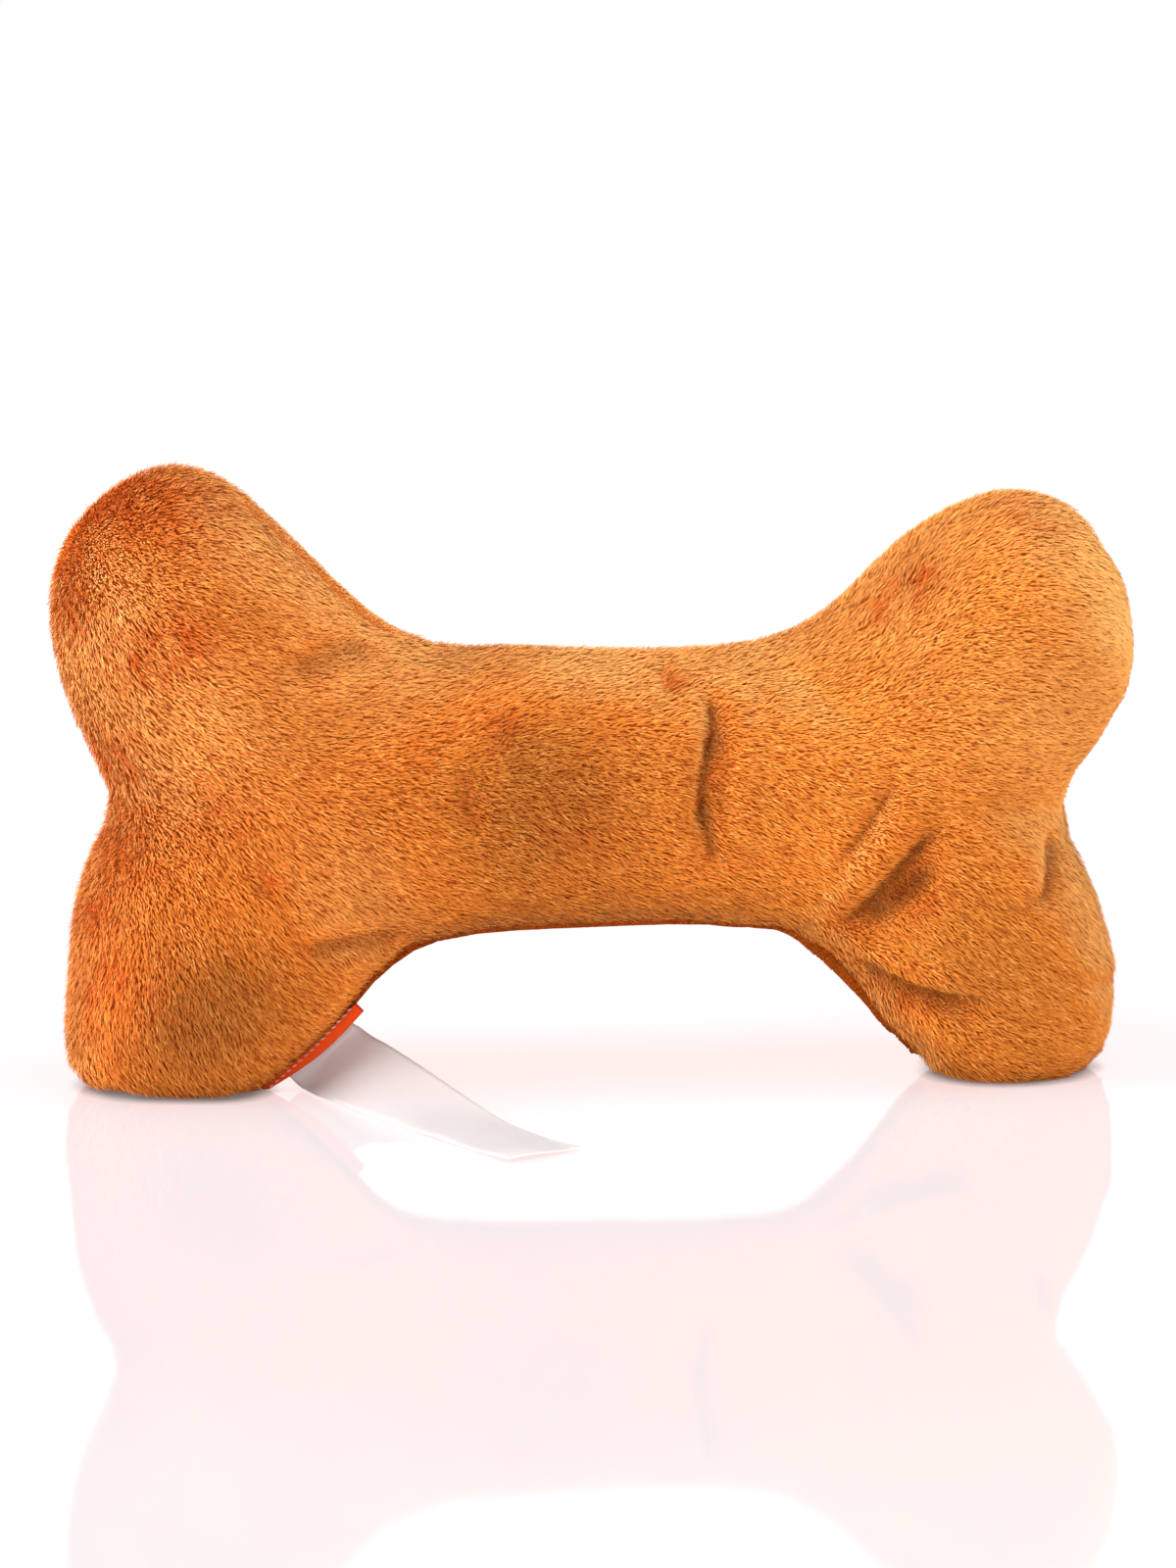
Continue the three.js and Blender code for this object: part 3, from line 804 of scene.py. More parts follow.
def nudged(co, normals, eye):
    """Draws the outline out or in where it leaves its pattern, and spreads the feet."""
    places = shown_places(co, eye)

    def pushes(table):
        total = np.zeros(len(co))
        for spot, radius, far in table:
            total += far * MM * bell(reach_from(spot, places), radius)
        return total[:, None]

    rim = 1 - normals[:, 1:2] ** 2
    outward = unit(normals * np.array([1, 0, 1]))
    under = np.maximum(-normals[:, 2:], 0) * (normals[:, 1:2] < 0)
    return co + outward * pushes(OUTLINE_NUDGES) * rim + normals * pushes(SPREAD_FEET) * under


def rolled(co, normals, off, behind):
    """Draws the seam in where the back panel stands out beyond it, and says where that is."""
    places = co[:, [0, 2]] / MM
    outward = unit(normals * np.array([1, 0, 1]))
    swelling = SWELLING_SHARE * bell(off - SWELLING_PLACE * MM, SWELLING_WIDTH * MM)
    back = bell(off, ROLL_BACK * MM) - swelling
    drawn = np.where(behind, back, bell(off, ROLL_FRONT * MM))
    where = np.zeros(len(co))
    for line, depth in SEAM_ROLLS:
        across, along = across_line(places, line)
        ends = ramp(np.minimum(along, 1 - along), 0, ROLL_FADE_SHARE)
        here = np.exp(-((across / ROLL_REACH) ** 4)) * ends
        co = co - outward * (drawn * here * depth * MM)[:, None]
        where = np.maximum(where, here)
    return co, where


def combed(co, normals, side, eye):
    """Direction of the pile along the skin."""
    places = fold_places(co, side, eye)
    total = np.zeros(len(co))
    run = np.zeros((len(co), 2))
    for spot, angle in COMBED:
        weight = 1 / (reach_from(spot, places) + COMB_BLEND) ** 3
        turn = math.radians(angle)
        run += weight[:, None] * np.array([math.cos(turn), math.sin(turn)])
        total += weight
    lay = np.stack([run[:, 0], np.zeros(len(co)), run[:, 1]], axis=1) / total[:, None]
    lay[:, 1] = COMB_LEAN * OUTWARD_Y[side]
    lay -= normals * np.sum(lay * normals, axis=1, keepdims=True)
    return unit(lay)


def ruffle(co, normals, side, eye):
    """Share of brushed-up pile at each point, little where the skin turns to the other side."""
    places = fold_places(co, side, eye)
    share = np.zeros(len(co))
    for spot, radius, most in RUFFLED:
        share = np.maximum(share, most * bell(reach_from(spot, places), radius))
    facing = ramp(np.abs(normals[:, 1]), 0, 0.6)
    share *= RUFFLED_EDGE_SHARE + (1 - RUFFLED_EDGE_SHARE) * facing
    return share if side == FRONT else share * RUFFLED_BACK_SHARE


def painted_light_of(co, normals, side, eye):
    """Painted light and shade, from -1 to 1: lightest at the right, the top and the left end."""
    places = fold_places(co, side, eye)
    light = PAINTED_LIGHT_MOST * ramp(normals @ np.array(PAINTED_LIGHT_WAY), 0.05, 0.95)
    light += PAINTED_LEFT_LIGHT * ramp(-normals[:, 0], 0.3, 0.6)
    for spot, radius, most in PAINTED_LIGHT_PATCHES:
        light += most * bell(reach_from(spot, places), radius)
    return np.clip(light, -1, 1)


def clear_of_labels(co):
    """Share of the pile's length that is left beside the labels, which press it down."""
    off = co - np.array(LABEL_ROOT)
    along = np.abs(off @ np.array(LABEL_ALONG)) / (PRESSED_ALONG * MM)
    out = off @ np.array(LABEL_OUT) / (PRESSED_OUT * MM)
    deep = np.abs(off[:, 1]) / (PRESSED_DEEP * MM)
    gap = np.maximum(np.maximum(along, np.abs(out)), deep)
    return PRESSED_SHARE + (1 - PRESSED_SHARE) * ramp(gap, 0.8, 0.4)


def panels_of_skin(mesh, behind):
    """The front and the back skin, each with its allowance turned in along the seam."""
    plush = bpy.context.scene.plush_bone_plush
    skins = {}
    for side in (FRONT, BACK):
        bm = bmesh.new()
        bm.from_mesh(mesh)
        bm.verts.ensure_lookup_table()
        wrong = []
        for face in bm.faces:
            at_back = sum(bool(behind[vert.index]) for vert in face.verts) > len(face.verts) / 2
            if at_back == (side == FRONT):
                wrong.append(face)
        bmesh.ops.delete(bm, geom=wrong, context="FACES")
        turned_in = bm.faces.layers.int.new("turned_in")
        rim = [edge for edge in bm.edges if edge.is_boundary]
        inwards = bmesh.ops.extrude_edge_only(bm, edges=rim)["geom"]
        for item in inwards:
            if isinstance(item, bmesh.types.BMVert):
                item.co -= item.normal * plush.allowance
            elif isinstance(item, bmesh.types.BMFace):
                item[turned_in] = 1
        skin = from_bmesh(f"{side}_plush", bm)
        skin.data.shade_smooth()
        skins[side] = skin
    return skins


def map_skin(mesh):
    """Flat map of a skin, with its turned-in edge in the empty place over the shaft."""
    corner = corner_vertices(mesh)
    co = places_of(mesh)[:, [0, 2]]
    low, high = co.min(axis=0), co.max(axis=0)
    share = (co - low) / (high - low)
    uv = 0.01 + 0.98 * share[corner]
    turned_in = np.empty(len(mesh.polygons), np.int32)
    mesh.attributes["turned_in"].data.foreach_get("value", turned_in)
    counts = np.empty(len(mesh.polygons), np.int32)
    mesh.polygons.foreach_get("loop_total", counts)
    edge = np.repeat(turned_in == 1, counts)
    uv[edge] = np.array([0.37, 0.87]) + share[corner][edge] * np.array([0.26, 0.12])
    give_map(mesh, "OFBake", uv)


def puffed_shell(context, plush, eye):
    """The whole toy's skin, puffed up and fine near its folds, and the line of its seam."""
    panels = ["front_panel", "back_panel"]
    fills = [node for node in frame["nodes"] if node.startswith("fill_")]
    fine = even_shell("fine", panels, PATTERN_CELL * MM)
    seam = seam_line(fine)
    pattern = BVHTree.FromObject(fine, context.evaluated_depsgraph_get())
    shell = even_shell("shell", panels + fills, plush.cloth_cell)
    inset = plush.backing_depth + ((0.5 * plush.swell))
    modify(shell, "DISPLACE", strength=-inset, mid_level=0)
    settle(shell)
    puffed(shell, seam, plush)
    modify(shell, "SMOOTH", factor=0.5, iterations=3)
    modify(shell, "SUBSURF", levels=2, render_levels=2)
    settle(shell)
    mesh = shell.data
    sized(mesh, pattern, plush)
    bpy.data.objects.remove(fine)
    co = places_of(mesh)
    gap = np.array([seam.find(Vector(place))[2] for place in co])
    fine_near(mesh, near_folds(co, normals_of(mesh), eye) | (gap < FINE_REACH * MM))
    return shell, seam


def at_seam(pair, drawn_in):
    """A value of a plain seam with what is added where the seam is drawn in."""
    plain, more = pair
    return plain + more * drawn_in


def press_in(mesh, seam, plush, eye):
    """Presses the folds and the seam in. Says for each point whether it is on the back, how
    far it lies from the seam, how deep in a fold, which sets its painted shade, and how far
    the seam is drawn in there."""
    co = places_of(mesh)
    normals = normals_of(mesh)
    nearest = [seam.find(Vector(place)) for place in co]
    gap = np.array([found[2] for found in nearest])
    behind = co[:, 1] > np.array([found[0].y for found in nearest])
    hollow_shade = np.zeros(len(co))
    for side, chosen in ((FRONT, ~behind), (BACK, behind)):
        co[chosen], hollow_shade[chosen] = folded(co[chosen], normals[chosen], side, eye)
    off = np.maximum(gap - plush.backing_depth, 0)
    co, drawn_in = rolled(nudged(co, normals, eye), normals, off, behind)
    groove = bell(off, GROOVE_WIDTH * MM)
    lip = bell(off - LIP_PLACE * MM, LIP_WIDTH * MM)
    seam_depth = plush.seam_depth * at_seam(SEAM_PULL, drawn_in)
    co += normals * (lip * LIP_RISE * MM - groove * seam_depth)[:, None]
    co[:, 2] = np.maximum(co[:, 2], plush.backing_depth * FOOT_SHARE)
    move_to(mesh, co)
    return behind, off, hollow_shade, drawn_in


def store_pile(mesh, behind, off, hollow_shade, drawn_in, eye):
    """Keeps the pile's way, length and shades on each point of the skin."""
    co = places_of(mesh)
    normals = normals_of(mesh)
    lay = np.zeros_like(co)
    brushed = np.zeros(len(co))
    light = np.zeros(len(co))
    for side, chosen in ((FRONT, ~behind), (BACK, behind)):
        lay[chosen] = combed(co[chosen], normals[chosen], side, eye)
        brushed[chosen] = ruffle(co[chosen], normals[chosen], side, eye)
        light[chosen] = painted_light_of(co[chosen], normals[chosen], side, eye)
    # Where the seam shows as a line, the line gets painted shade, and the cloth beside it is
    # smooth and gets a painted highlight
    line = at_seam(LINE_SHADE, drawn_in) * bell(off, at_seam(LINE_WIDTH, drawn_in) * MM)
    hollow_shade = np.maximum(hollow_shade, line)
    seam_highlight = drawn_in * ~behind * bell(off - HIGHLIGHT_PLACE * MM, HIGHLIGHT_WIDTH * MM)
    light = np.clip(light + HIGHLIGHT_MORE * seam_highlight, -1, 1)
    growth = at_seam(PILE_GROWTH, drawn_in) * MM
    rise = np.clip(at_seam(PILE_START, drawn_in) + off / growth, 0, 1)
    length = rise * (1 - HOLLOW_LOSS * np.minimum(hollow_shade, 1)) * (1 + BRUSHED_GAIN * brushed)
    store(mesh, "lay", lay)
    store(mesh, "ruffled", brushed)
    store(mesh, "light", light)
    store(mesh, "hollow_shade", hollow_shade)
    store(mesh, "pile", length * clear_of_labels(co))


def make_skin(context):
    """The two sewn panels of plush, without their pile."""
    plush = context.scene.plush_bone_plush
    eye = np.array(context.scene.plush_bone_studio.camera_place)
    shell, seam = puffed_shell(context, plush, eye)
    behind, off, hollow_shade, drawn_in = press_in(shell.data, seam, plush, eye)
    store_pile(shell.data, behind, off, hollow_shade, drawn_in, eye)
    skins = panels_of_skin(shell.data, behind)
    bpy.data.objects.remove(shell)
    for side, skin in skins.items():
        map_skin(skin.data)
        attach(skin, "bone")
        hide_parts(f"{side}_panel")
    return skins


# Node trees


def add_node(tree, kind, inputs=None, **values):
    """New node with its own values and its inputs, given as numbers or as sockets."""
    node = tree.nodes.new(kind)
    for name, value in values.items():
        setattr(node, name, value)
    for key, value in (inputs or {}).items():
        feed(tree, value, node.inputs[key])
    return node


def feed(tree, value, socket):
    """Gives an input a number or another node's output."""
    if isinstance(value, bpy.types.NodeSocket):
        tree.links.new(value, socket)
    else:
        socket.default_value = value


def maths(tree, operation, *values):
    node = tree.nodes.new("ShaderNodeMath")
    node.operation = operation
    for socket, value in zip(node.inputs, values):
        feed(tree, value, socket)
    return node.outputs[0]


def vector_maths(tree, operation, *values):
    node = tree.nodes.new("ShaderNodeVectorMath")
    node.operation = operation
    for socket, value in zip(node.inputs, values):
        feed(tree, value, socket)
    return node.outputs[0]


# Where along a lock its shade is taken, as shares of its length
LOCK_STEPS = (-0.5, -0.25, 0.0, 0.25, 0.5)


def drawn_out(tree, place, way, plush):
    """Noise that is long along the pile's own way: the mean of a row of places along it."""
    total = 0.0
    for step in LOCK_STEPS:
        far = step * plush.lock_length
        moved = vector_maths(tree, "MULTIPLY_ADD", way, (far, far, far), place)
        total = maths(tree, "ADD", total, noise(tree, moved, plush.lock_scale, 1.0))
    return maths(tree, "DIVIDE", total, float(len(LOCK_STEPS)))


def pile_tree(plush, tuft, seed):
    """Geometry nodes that stand a tuft on every spot of the skin."""
    tree = bpy.data.node_groups.new("Pile", "GeometryNodeTree")
    tree.interface.new_socket("Geometry", in_out="INPUT", socket_type="NodeSocketGeometry")
    tree.interface.new_socket("Geometry", in_out="OUTPUT", socket_type="NodeSocketGeometry")
    start = tree.nodes.new("NodeGroupInput")
    end = tree.nodes.new("NodeGroupOutput")

    def named(name, kind="FLOAT"):
        node = add_node(tree, "GeometryNodeInputNamedAttribute", {"Name": name}, data_type=kind)
        return node.outputs["Attribute"]

    def chance(low, high, step):
        node = add_node(tree, "FunctionNodeRandomValue", data_type="FLOAT")
        node.inputs[2].default_value = low
        node.inputs[3].default_value = high
        node.inputs["Seed"].default_value = seed + step
        return node.outputs[1]

    def kept(geometry, name, value, kind):
        return add_node(
            tree,
            "GeometryNodeStoreNamedAttribute",
            {"Geometry": geometry, "Name": name, "Value": value},
            data_type=kind,
            domain="POINT",
        ).outputs[0]

    spots = add_node(
        tree,
        "GeometryNodeDistributePointsOnFaces",
        {
            "Mesh": start.outputs[0],
            "Distance Min": plush.pile_spacing,
            "Density Max": 1.1 / plush.pile_spacing**2,
            "Seed": seed,
        },
        distribute_method="POISSON",
    )
    ruffled = named("ruffled")
    place = add_node(tree, "GeometryNodeInputPosition").outputs[0]
    # Neighbours share a shade and a height, and sway together, which gathers them in locks
    combed_way = named("lay", "FLOAT_VECTOR")
    lock = spread(tree, drawn_out(tree, place, combed_way, plush), 0.4, 0.6)
    sway = add_node(tree, "ShaderNodeTexNoise", {"Vector": place, "Scale": 420.0, "Detail": 1.0})
    centred = vector_maths(tree, "SUBTRACT", sway.outputs["Color"], (0.5, 0.5, 0.5))
    looseness = maths(tree, "MULTIPLY_ADD", ruffled, 1.8, 0.9)
    swayed = add_node(
        tree, "ShaderNodeVectorMath", {0: centred, "Scale": looseness}, operation="SCALE"
    )
    lay = vector_maths(tree, "ADD", combed_way, swayed.outputs[0])
    facing = add_node(
        tree,
        "FunctionNodeAxesToRotation",
        {"Primary Axis": spots.outputs["Normal"], "Secondary Axis": lay},
        primary_axis="X",
        secondary_axis="Z",
    )
    # A few tufts stand up out of the rest, which makes the outline soft
    pile = named("pile")
    stray = maths(tree, "MULTIPLY", maths(tree, "POWER", chance(0.0, 1.0, 8), 7.0), pile)
    parts = add_node(tree, "ShaderNodeSeparateXYZ", {0: place})
    stray = maths(tree, "MULTIPLY", stray, spread(tree, parts.outputs[0], -0.08, 0.05, 1.0, 0.32))
    rise = maths(tree, "MULTIPLY_ADD", ruffled, 0.22, chance(-0.18, 0.02, 1))
    rise = maths(tree, "MULTIPLY_ADD", lock, 0.22, rise)
    rise = maths(tree, "MULTIPLY_ADD", stray, 0.75, rise)
    tilt = add_node(
        tree, "ShaderNodeCombineXYZ", {"X": chance(-0.2, 0.2, 2), "Y": rise, "Z": chance(-0.3, 0.3, 3)}
    )
    turn = add_node(tree, "FunctionNodeEulerToRotation", {0: tilt.outputs[0]})
    rotation = add_node(
        tree,
        "FunctionNodeRotateRotation",
        {"Rotation": facing.outputs[0], "Rotate By": turn.outputs[0]},
        rotation_space="LOCAL",
    )
    size = add_node(
        tree,
        "ShaderNodeCombineXYZ",
        {
            "X": maths(tree, "MULTIPLY", pile, chance(0.75, 1.2, 4)),
            "Y": maths(tree, "MULTIPLY_ADD", stray, -0.4, chance(0.75, 1.2, 5)),
            "Z": maths(tree, "MULTIPLY", pile, chance(0.75, 1.2, 6)),
        },
    )
    shade = maths(tree, "MULTIPLY_ADD", lock, 0.62, chance(0.0, 0.38, 7))
    points = kept(spots.outputs["Points"], "shade", shade, "FLOAT")
    points = kept(points, "outwards", spots.outputs["Normal"], "FLOAT_VECTOR")
    shape = add_node(tree, "GeometryNodeObjectInfo", {"Object": tuft})
    stand = add_node(
        tree,
        "GeometryNodeInstanceOnPoints",
        {
            "Points": points,
            "Instance": shape.outputs["Geometry"],
            "Rotation": rotation.outputs[0],
            "Scale": size.outputs[0],
        },
    )
    real = add_node(tree, "GeometryNodeRealizeInstances", {"Geometry": stand.outputs[0]})
    # The tufts are lit mostly as the skin under them is, which makes the pile soft
    own = add_node(tree, "GeometryNodeInputNormal").outputs[0]
    lit = add_node(
        tree,
        "ShaderNodeMix",
        {0: 0.6, 4: own, 5: named("outwards", "FLOAT_VECTOR")},
        data_type="VECTOR",
    )
    soft = add_node(
        tree, "GeometryNodeSetMeshNormal", {"Mesh": real.outputs[0]}, mode="FREE", domain="POINT"
    )
    tree.links.new(vector_maths(tree, "NORMALIZE", lit.outputs[1]), soft.inputs["Custom Normal"])
    tree.links.new(soft.outputs[0], end.inputs[0])
    return tree


# A tuft from its root to its tip: rise, run and breadth as shares of its length and width
TUFT_SHARES = [(0.0, 0.0, 0.8), (0.3, 0.46, 1.0), (0.42, 1.0, 0.1)]


def make_tuft(plush):
    """One tuft: a narrow blade that rises from the backing, bends over and tapers."""
    bm = bmesh.new()
    bmesh.ops.create_grid(bm, x_segments=1, y_segments=2, size=0.5)
    tip = bm.verts.layers.float.new("tip")
    cell = bm.loops.layers.uv.new("OFBake")
    for face in bm.faces:
        for corner in face.loops:
            corner[cell].uv = (0.5 + 0.7 * corner.vert.co.x, 0.5 + 0.7 * corner.vert.co.y)
    for vert in bm.verts:
        step = round((vert.co.y + 0.5) * 2)
        side = vert.co.x * 2
        rise, run, breadth = TUFT_SHARES[step]
        vert[tip] = step / 2
        vert.co = (
            rise * plush.pile_length,
            side * plush.pile_width / 2 * breadth,
            run * plush.pile_length,
        )
    ends = [vert for vert in bm.verts if vert[tip] > 0.9]
    bmesh.ops.pointmerge(bm, verts=ends, merge_co=sum((v.co for v in ends), Vector()) / len(ends))
    return from_bmesh("tuft", bm)


def share_out(mesh, corners):
    """Gives every tuft a cell of its own in the map of its piece."""
    uv = np.empty(len(mesh.loops) * 2, np.float32)
    layer = mesh.uv_layers["OFBake"]
    layer.uv.foreach_get("vector", uv)
    tuft = np.arange(len(mesh.loops)) // corners
    side = math.ceil(math.sqrt(tuft[-1] + 1))
    cell = np.stack([tuft % side, tuft // side], axis=1)
    layer.uv.foreach_set("vector", ((cell + uv.reshape(-1, 2)) / side).astype(np.float32).ravel())


# Where the pile of a side is parted into pieces, in metres along the bone
PILE_PARTS = {"left": (-1, -0.062), "middle": (-0.062, 0.05), "right": (0.05, 1)}

# The seed of the first piece's chances, and how many seeds a piece takes
FIRST_SEED, SEEDS_A_PIECE = 7, 10

# How far the tufts keep off the floor, in millimetres
TUFT_CLEARANCE = 0.15


def make_pile(context, skins):
    """The tufts of the pile, in a left, a middle and a right piece of each side."""
    plush = context.scene.plush_bone_plush
    tuft = make_tuft(plush)
    corners = len(tuft.data.loops)
    pieces = []
    for side, skin in skins.items():
        for part, (low, high) in PILE_PARTS.items():
            bm = bmesh.new()
            bm.from_mesh(skin.data)
            turned_in = bm.faces.layers.int["turned_in"]
            others = [
                face
                for face in bm.faces
                if face[turned_in] or not low <= face.calc_center_median().x < high
            ]
            bmesh.ops.delete(bm, geom=others, context="FACES")
            bm.loops.layers.uv.remove(bm.loops.layers.uv["OFBake"])
            carpet = from_bmesh(f"{side}_pile_{part}", bm)
            seed = SEEDS_A_PIECE * len(pieces) + FIRST_SEED
            modify(carpet, "NODES").node_group = pile_tree(plush, tuft, seed)
            settle(carpet)
            mesh = carpet.data
            co = places_of(mesh)
            co[:, 2] = np.maximum(co[:, 2], TUFT_CLEARANCE * MM)
            move_to(mesh, co)
            share_out(mesh, corners)
            for name in ("lay", "pile", "outwards", "turned_in"):
                if name in mesh.attributes:
                    mesh.attributes.remove(mesh.attributes[name])
            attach(carpet, "bone")
            pieces.append(carpet)
    bpy.data.objects.remove(tuft)
    return pieces


# The labels

# The ribbon's form in millimetres: how far it keeps off the floor, its crown across, its
# ripple along and how far the corner of its end lifts; the ripple's waves in radians along
# and across; the share of its length where the lift begins; its cells along and across
RIBBON_CLEARANCE = 0.3
RIBBON_CROWN, RIBBON_RIPPLE, CORNER_LIFT = 0.9, 0.35, 0.4
RIPPLE_ALONG, RIPPLE_ACROSS = 9, 2.2
LIFT_START_SHARE = 0.86
RIBBON_STATIONS, RIBBON_STRIPS = 72, 16

# The tab: its reach at its lower end and what is added up to its upper end, as shares of the
# reach there, the share of its strip that turns round the fold, how far its layers puff and
# its wave sways in millimetres, and the wave's run in radians
TAB_LOW_SHARE, TAB_RISE_SHARE = 0.18, 0.82
TAB_FOLD_SHARE = 0.3
TAB_PUFF, TAB_WAVE = 0.2, 0.18
TAB_WAVE_RUN = 7

# A stitch of the tab: half its length and width, its height over the cloth, and how far the
# row stands out at its ends and more in its middle, in millimetres; how much a stitch leans
STITCH_HALF_LENGTH, STITCH_HALF_WIDTH = 0.68, 0.21
STITCH_RAISED = 0.12
STITCH_ROW, STITCH_ROW_BOW = 0.6, 0.75
STITCH_LEAN = 0.28


def label_strip(name, across, along, place):
    """Strip of cloth whose corners are put by a function of its shares across and along."""
    bm = bmesh.new()
    bmesh.ops.create_grid(bm, x_segments=across, y_segments=along, size=0.5)
    cell = bm.loops.layers.uv.new("OFBake")
    for face in bm.faces:
        for corner in face.loops:
            corner[cell].uv = (corner.vert.co.x + 0.5, corner.vert.co.y + 0.5)
    for vert in bm.verts:
        vert.co = place(vert.co.x + 0.5, vert.co.y + 0.5)
    strip = from_bmesh(name, bm)
    strip.data.shade_smooth()
    return strip


def ribbon_line(label, count):
    """Middle line of the satin ribbon, from inside the seam to its end on the floor."""
    root = LABEL_ROOT - LABEL_ALONG * label.ribbon_shift
    root.y += label.tab_fabric + label.tab_layer_gap / 2 + label.layer_gap
    bend = root + LABEL_OUT * label.ribbon_free_run
    lying = RIBBON_CLEARANCE * MM + label.ribbon_thickness
    side, forward = label.ribbon_reach
    end = Vector((root.x + side, root.y - forward, lying + label.ribbon_curl))
    middles = []
    for run, drop in RIBBON_DROP_SHARES:
        place = bend.lerp(end, run)
        place.z = bend.z + (lying - bend.z) * drop
        middles.append(place)
    inside = root - LABEL_OUT * label.sewn_in
    return smooth_line([inside, root, bend, *middles, end], count)


def make_ribbon(context):
    """The satin care label, out of the seam behind the tab and forward to the floor."""
    label = context.scene.plush_bone_label
    line = ribbon_line(label, RIBBON_STATIONS + 1)
    runs = unit(np.gradient(line, axis=0))
    half = label.ribbon_width / 2
    lowest = RIBBON_CLEARANCE * MM + label.ribbon_thickness

    def place(across, along):
        station = min(RIBBON_STATIONS, round(along * RIBBON_STATIONS))
        centre, run = Vector(line[station]), Vector(runs[station])
        level = Vector((-run.y, run.x, 0)).normalized()
        wide = LABEL_ALONG.lerp(level, min(1, along * RIBBON_TWIST_SHARE))
        wide = (wide - run * wide.dot(run)).normalized()
        centre.z = max(centre.z, lowest + half * abs(wide.z))
        up = run.cross(wide)
        up = up if up.z > 0 else -up
        out = 2 * across - 1
        crown = RIBBON_CROWN * MM * (1 - out**2) * math.sin(math.pi * min(1, 1.1 * along))
        ripple = RIBBON_RIPPLE * MM * math.sin(RIPPLE_ALONG * along + RIPPLE_ACROSS * out) * along
        lifted = ramp(along, LIFT_START_SHARE, 1 - LIFT_START_SHARE)
        lift = CORNER_LIFT * MM * lifted * max(0, out) ** 2
        spot = centre + wide * half * out + up * (crown + ripple + lift)
        spot.z = max(spot.z, lowest - 0.1 * MM)
        return spot

    ribbon = label_strip("satin_care_label", RIBBON_STRIPS, RIBBON_STATIONS, place)
    modify(ribbon, "SOLIDIFY", thickness=label.ribbon_thickness, offset=0)
    settle(ribbon)
    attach(ribbon, "ribbon")
    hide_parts("care_label")
    return ribbon


def tab_reach(label, along):
    """How far the tab stands out at a share of its length, from its lower end up."""
    straight = label.tab_reach * (TAB_LOW_SHARE + TAB_RISE_SHARE * along)
    return straight + label.tab_bow * math.sin(math.pi * along)


def tab_wave(along):
    """How far the tab sways to one side at a share of its length."""
    return TAB_WAVE * MM * math.sin(TAB_WAVE_RUN * along + 1)


def make_tab(context):
    """The woven tab: a strip folded along its outer edge and sewn into the seam."""
    label = context.scene.plush_bone_label
    side_way = LABEL_ALONG.cross(LABEL_OUT)
    half = (label.tab_layer_gap + label.tab_fabric) / 2
    layer_share = (1 - TAB_FOLD_SHARE) / 2

    def place(across, along):
        reach = tab_reach(label, along)
        straight = reach - half + label.sewn_in
        if across < layer_share:
            out = -label.sewn_in + straight * across / layer_share
            side = half
        elif across > (1 + TAB_FOLD_SHARE) / 2:
            out = -label.sewn_in + straight * (1 - across) / layer_share
            side = -half
        else:
            turn = math.pi * ((across - layer_share) / TAB_FOLD_SHARE)
            out = reach - half + half * math.sin(turn)
            side = half * math.cos(turn)
        puff = TAB_PUFF * MM * math.sin(math.pi * min(1, max(0, out / reach)))
        side += math.copysign(puff, side) if side else 0
        run = label.tab_length * (along - 0.5) - label.tab_shift
        spot = LABEL_ROOT + LABEL_ALONG * run + LABEL_OUT * out + side_way * (side + tab_wave(along))
        spot.z = max(spot.z, label.tab_fabric)
        return spot

    tab = label_strip("woven_tab", 24, 48, place)
    modify(tab, "SOLIDIFY", thickness=label.tab_fabric, offset=0)
    settle(tab)
    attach(tab, "tab")
    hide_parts("tab_label")
    return tab


def make_tab_stitches(context):
    """Small pale stitches along the tab, close to the seam."""
    label = context.scene.plush_bone_label
    side_way = LABEL_ALONG.cross(LABEL_OUT)
    toward = side_way if side_way.y < 0 else -side_way
    count = int(label.tab_length / label.stitch_pitch) - 1
    size = Vector((STITCH_HALF_LENGTH, STITCH_HALF_WIDTH, STITCH_HALF_WIDTH)) * MM
    lean = LABEL_ALONG + LABEL_OUT * STITCH_LEAN
    turn = lean.to_track_quat("X", "Z").to_matrix()
    layer = label.tab_layer_gap / 2 + label.tab_fabric + STITCH_RAISED * MM
    bm = bmesh.new()
    for index in range(count):
        along = label.stitch_pitch * (index - (count - 1) / 2)
        share = along / label.tab_length + 0.5
        row = (STITCH_ROW + STITCH_ROW_BOW * math.sin(math.pi * share)) * MM
        spot = LABEL_ROOT + LABEL_ALONG * (along - label.tab_shift) + LABEL_OUT * row
        spot += toward * layer + side_way * tab_wave(share)
        made = bmesh.ops.create_uvsphere(bm, u_segments=8, v_segments=6, radius=1)["verts"]
        for vert in made:
            vert.co = turn @ (vert.co * size) + spot
    stitches = from_bmesh("tab_stitches", bm)
    stitches.data.shade_smooth()
    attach(stitches, "tab")
    return stitches


# The inside


def make_stuffing(context):
    """Gathered fibre in place of each clump of the stuffing."""
    inside = context.scene.plush_bone_inside
    clumps = []
    for node in [name for name in frame["nodes"] if name.startswith("fill_")]:
        clump = from_bmesh(node.replace("fill", "fibre"), welded(node))
        modify(clump, "REMESH", mode="VOXEL", voxel_size=3 * MM, use_smooth_shade=True)
        modify(clump, "DISPLACE", strength=-inside.fibre_inset, mid_level=0)
        modify(clump, "SMOOTH", factor=0.5, iterations=2)
        modify(clump, "SUBSURF", levels=1, render_levels=1)
        settle(clump)
        co = places_of(clump.data)
        lumps = [value_noise.fractal(Vector(place) * 90, 0.7, 2.2, 3) for place in co]
        height = np.clip(np.array(lumps), -1, 1) * inside.fibre_lump
        move_to(clump.data, co + normals_of(clump.data) * height[:, None])
        clump.data.shade_smooth()
        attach(clump, "bone")
        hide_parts(node)
        clumps.append(clump)
    return clumps


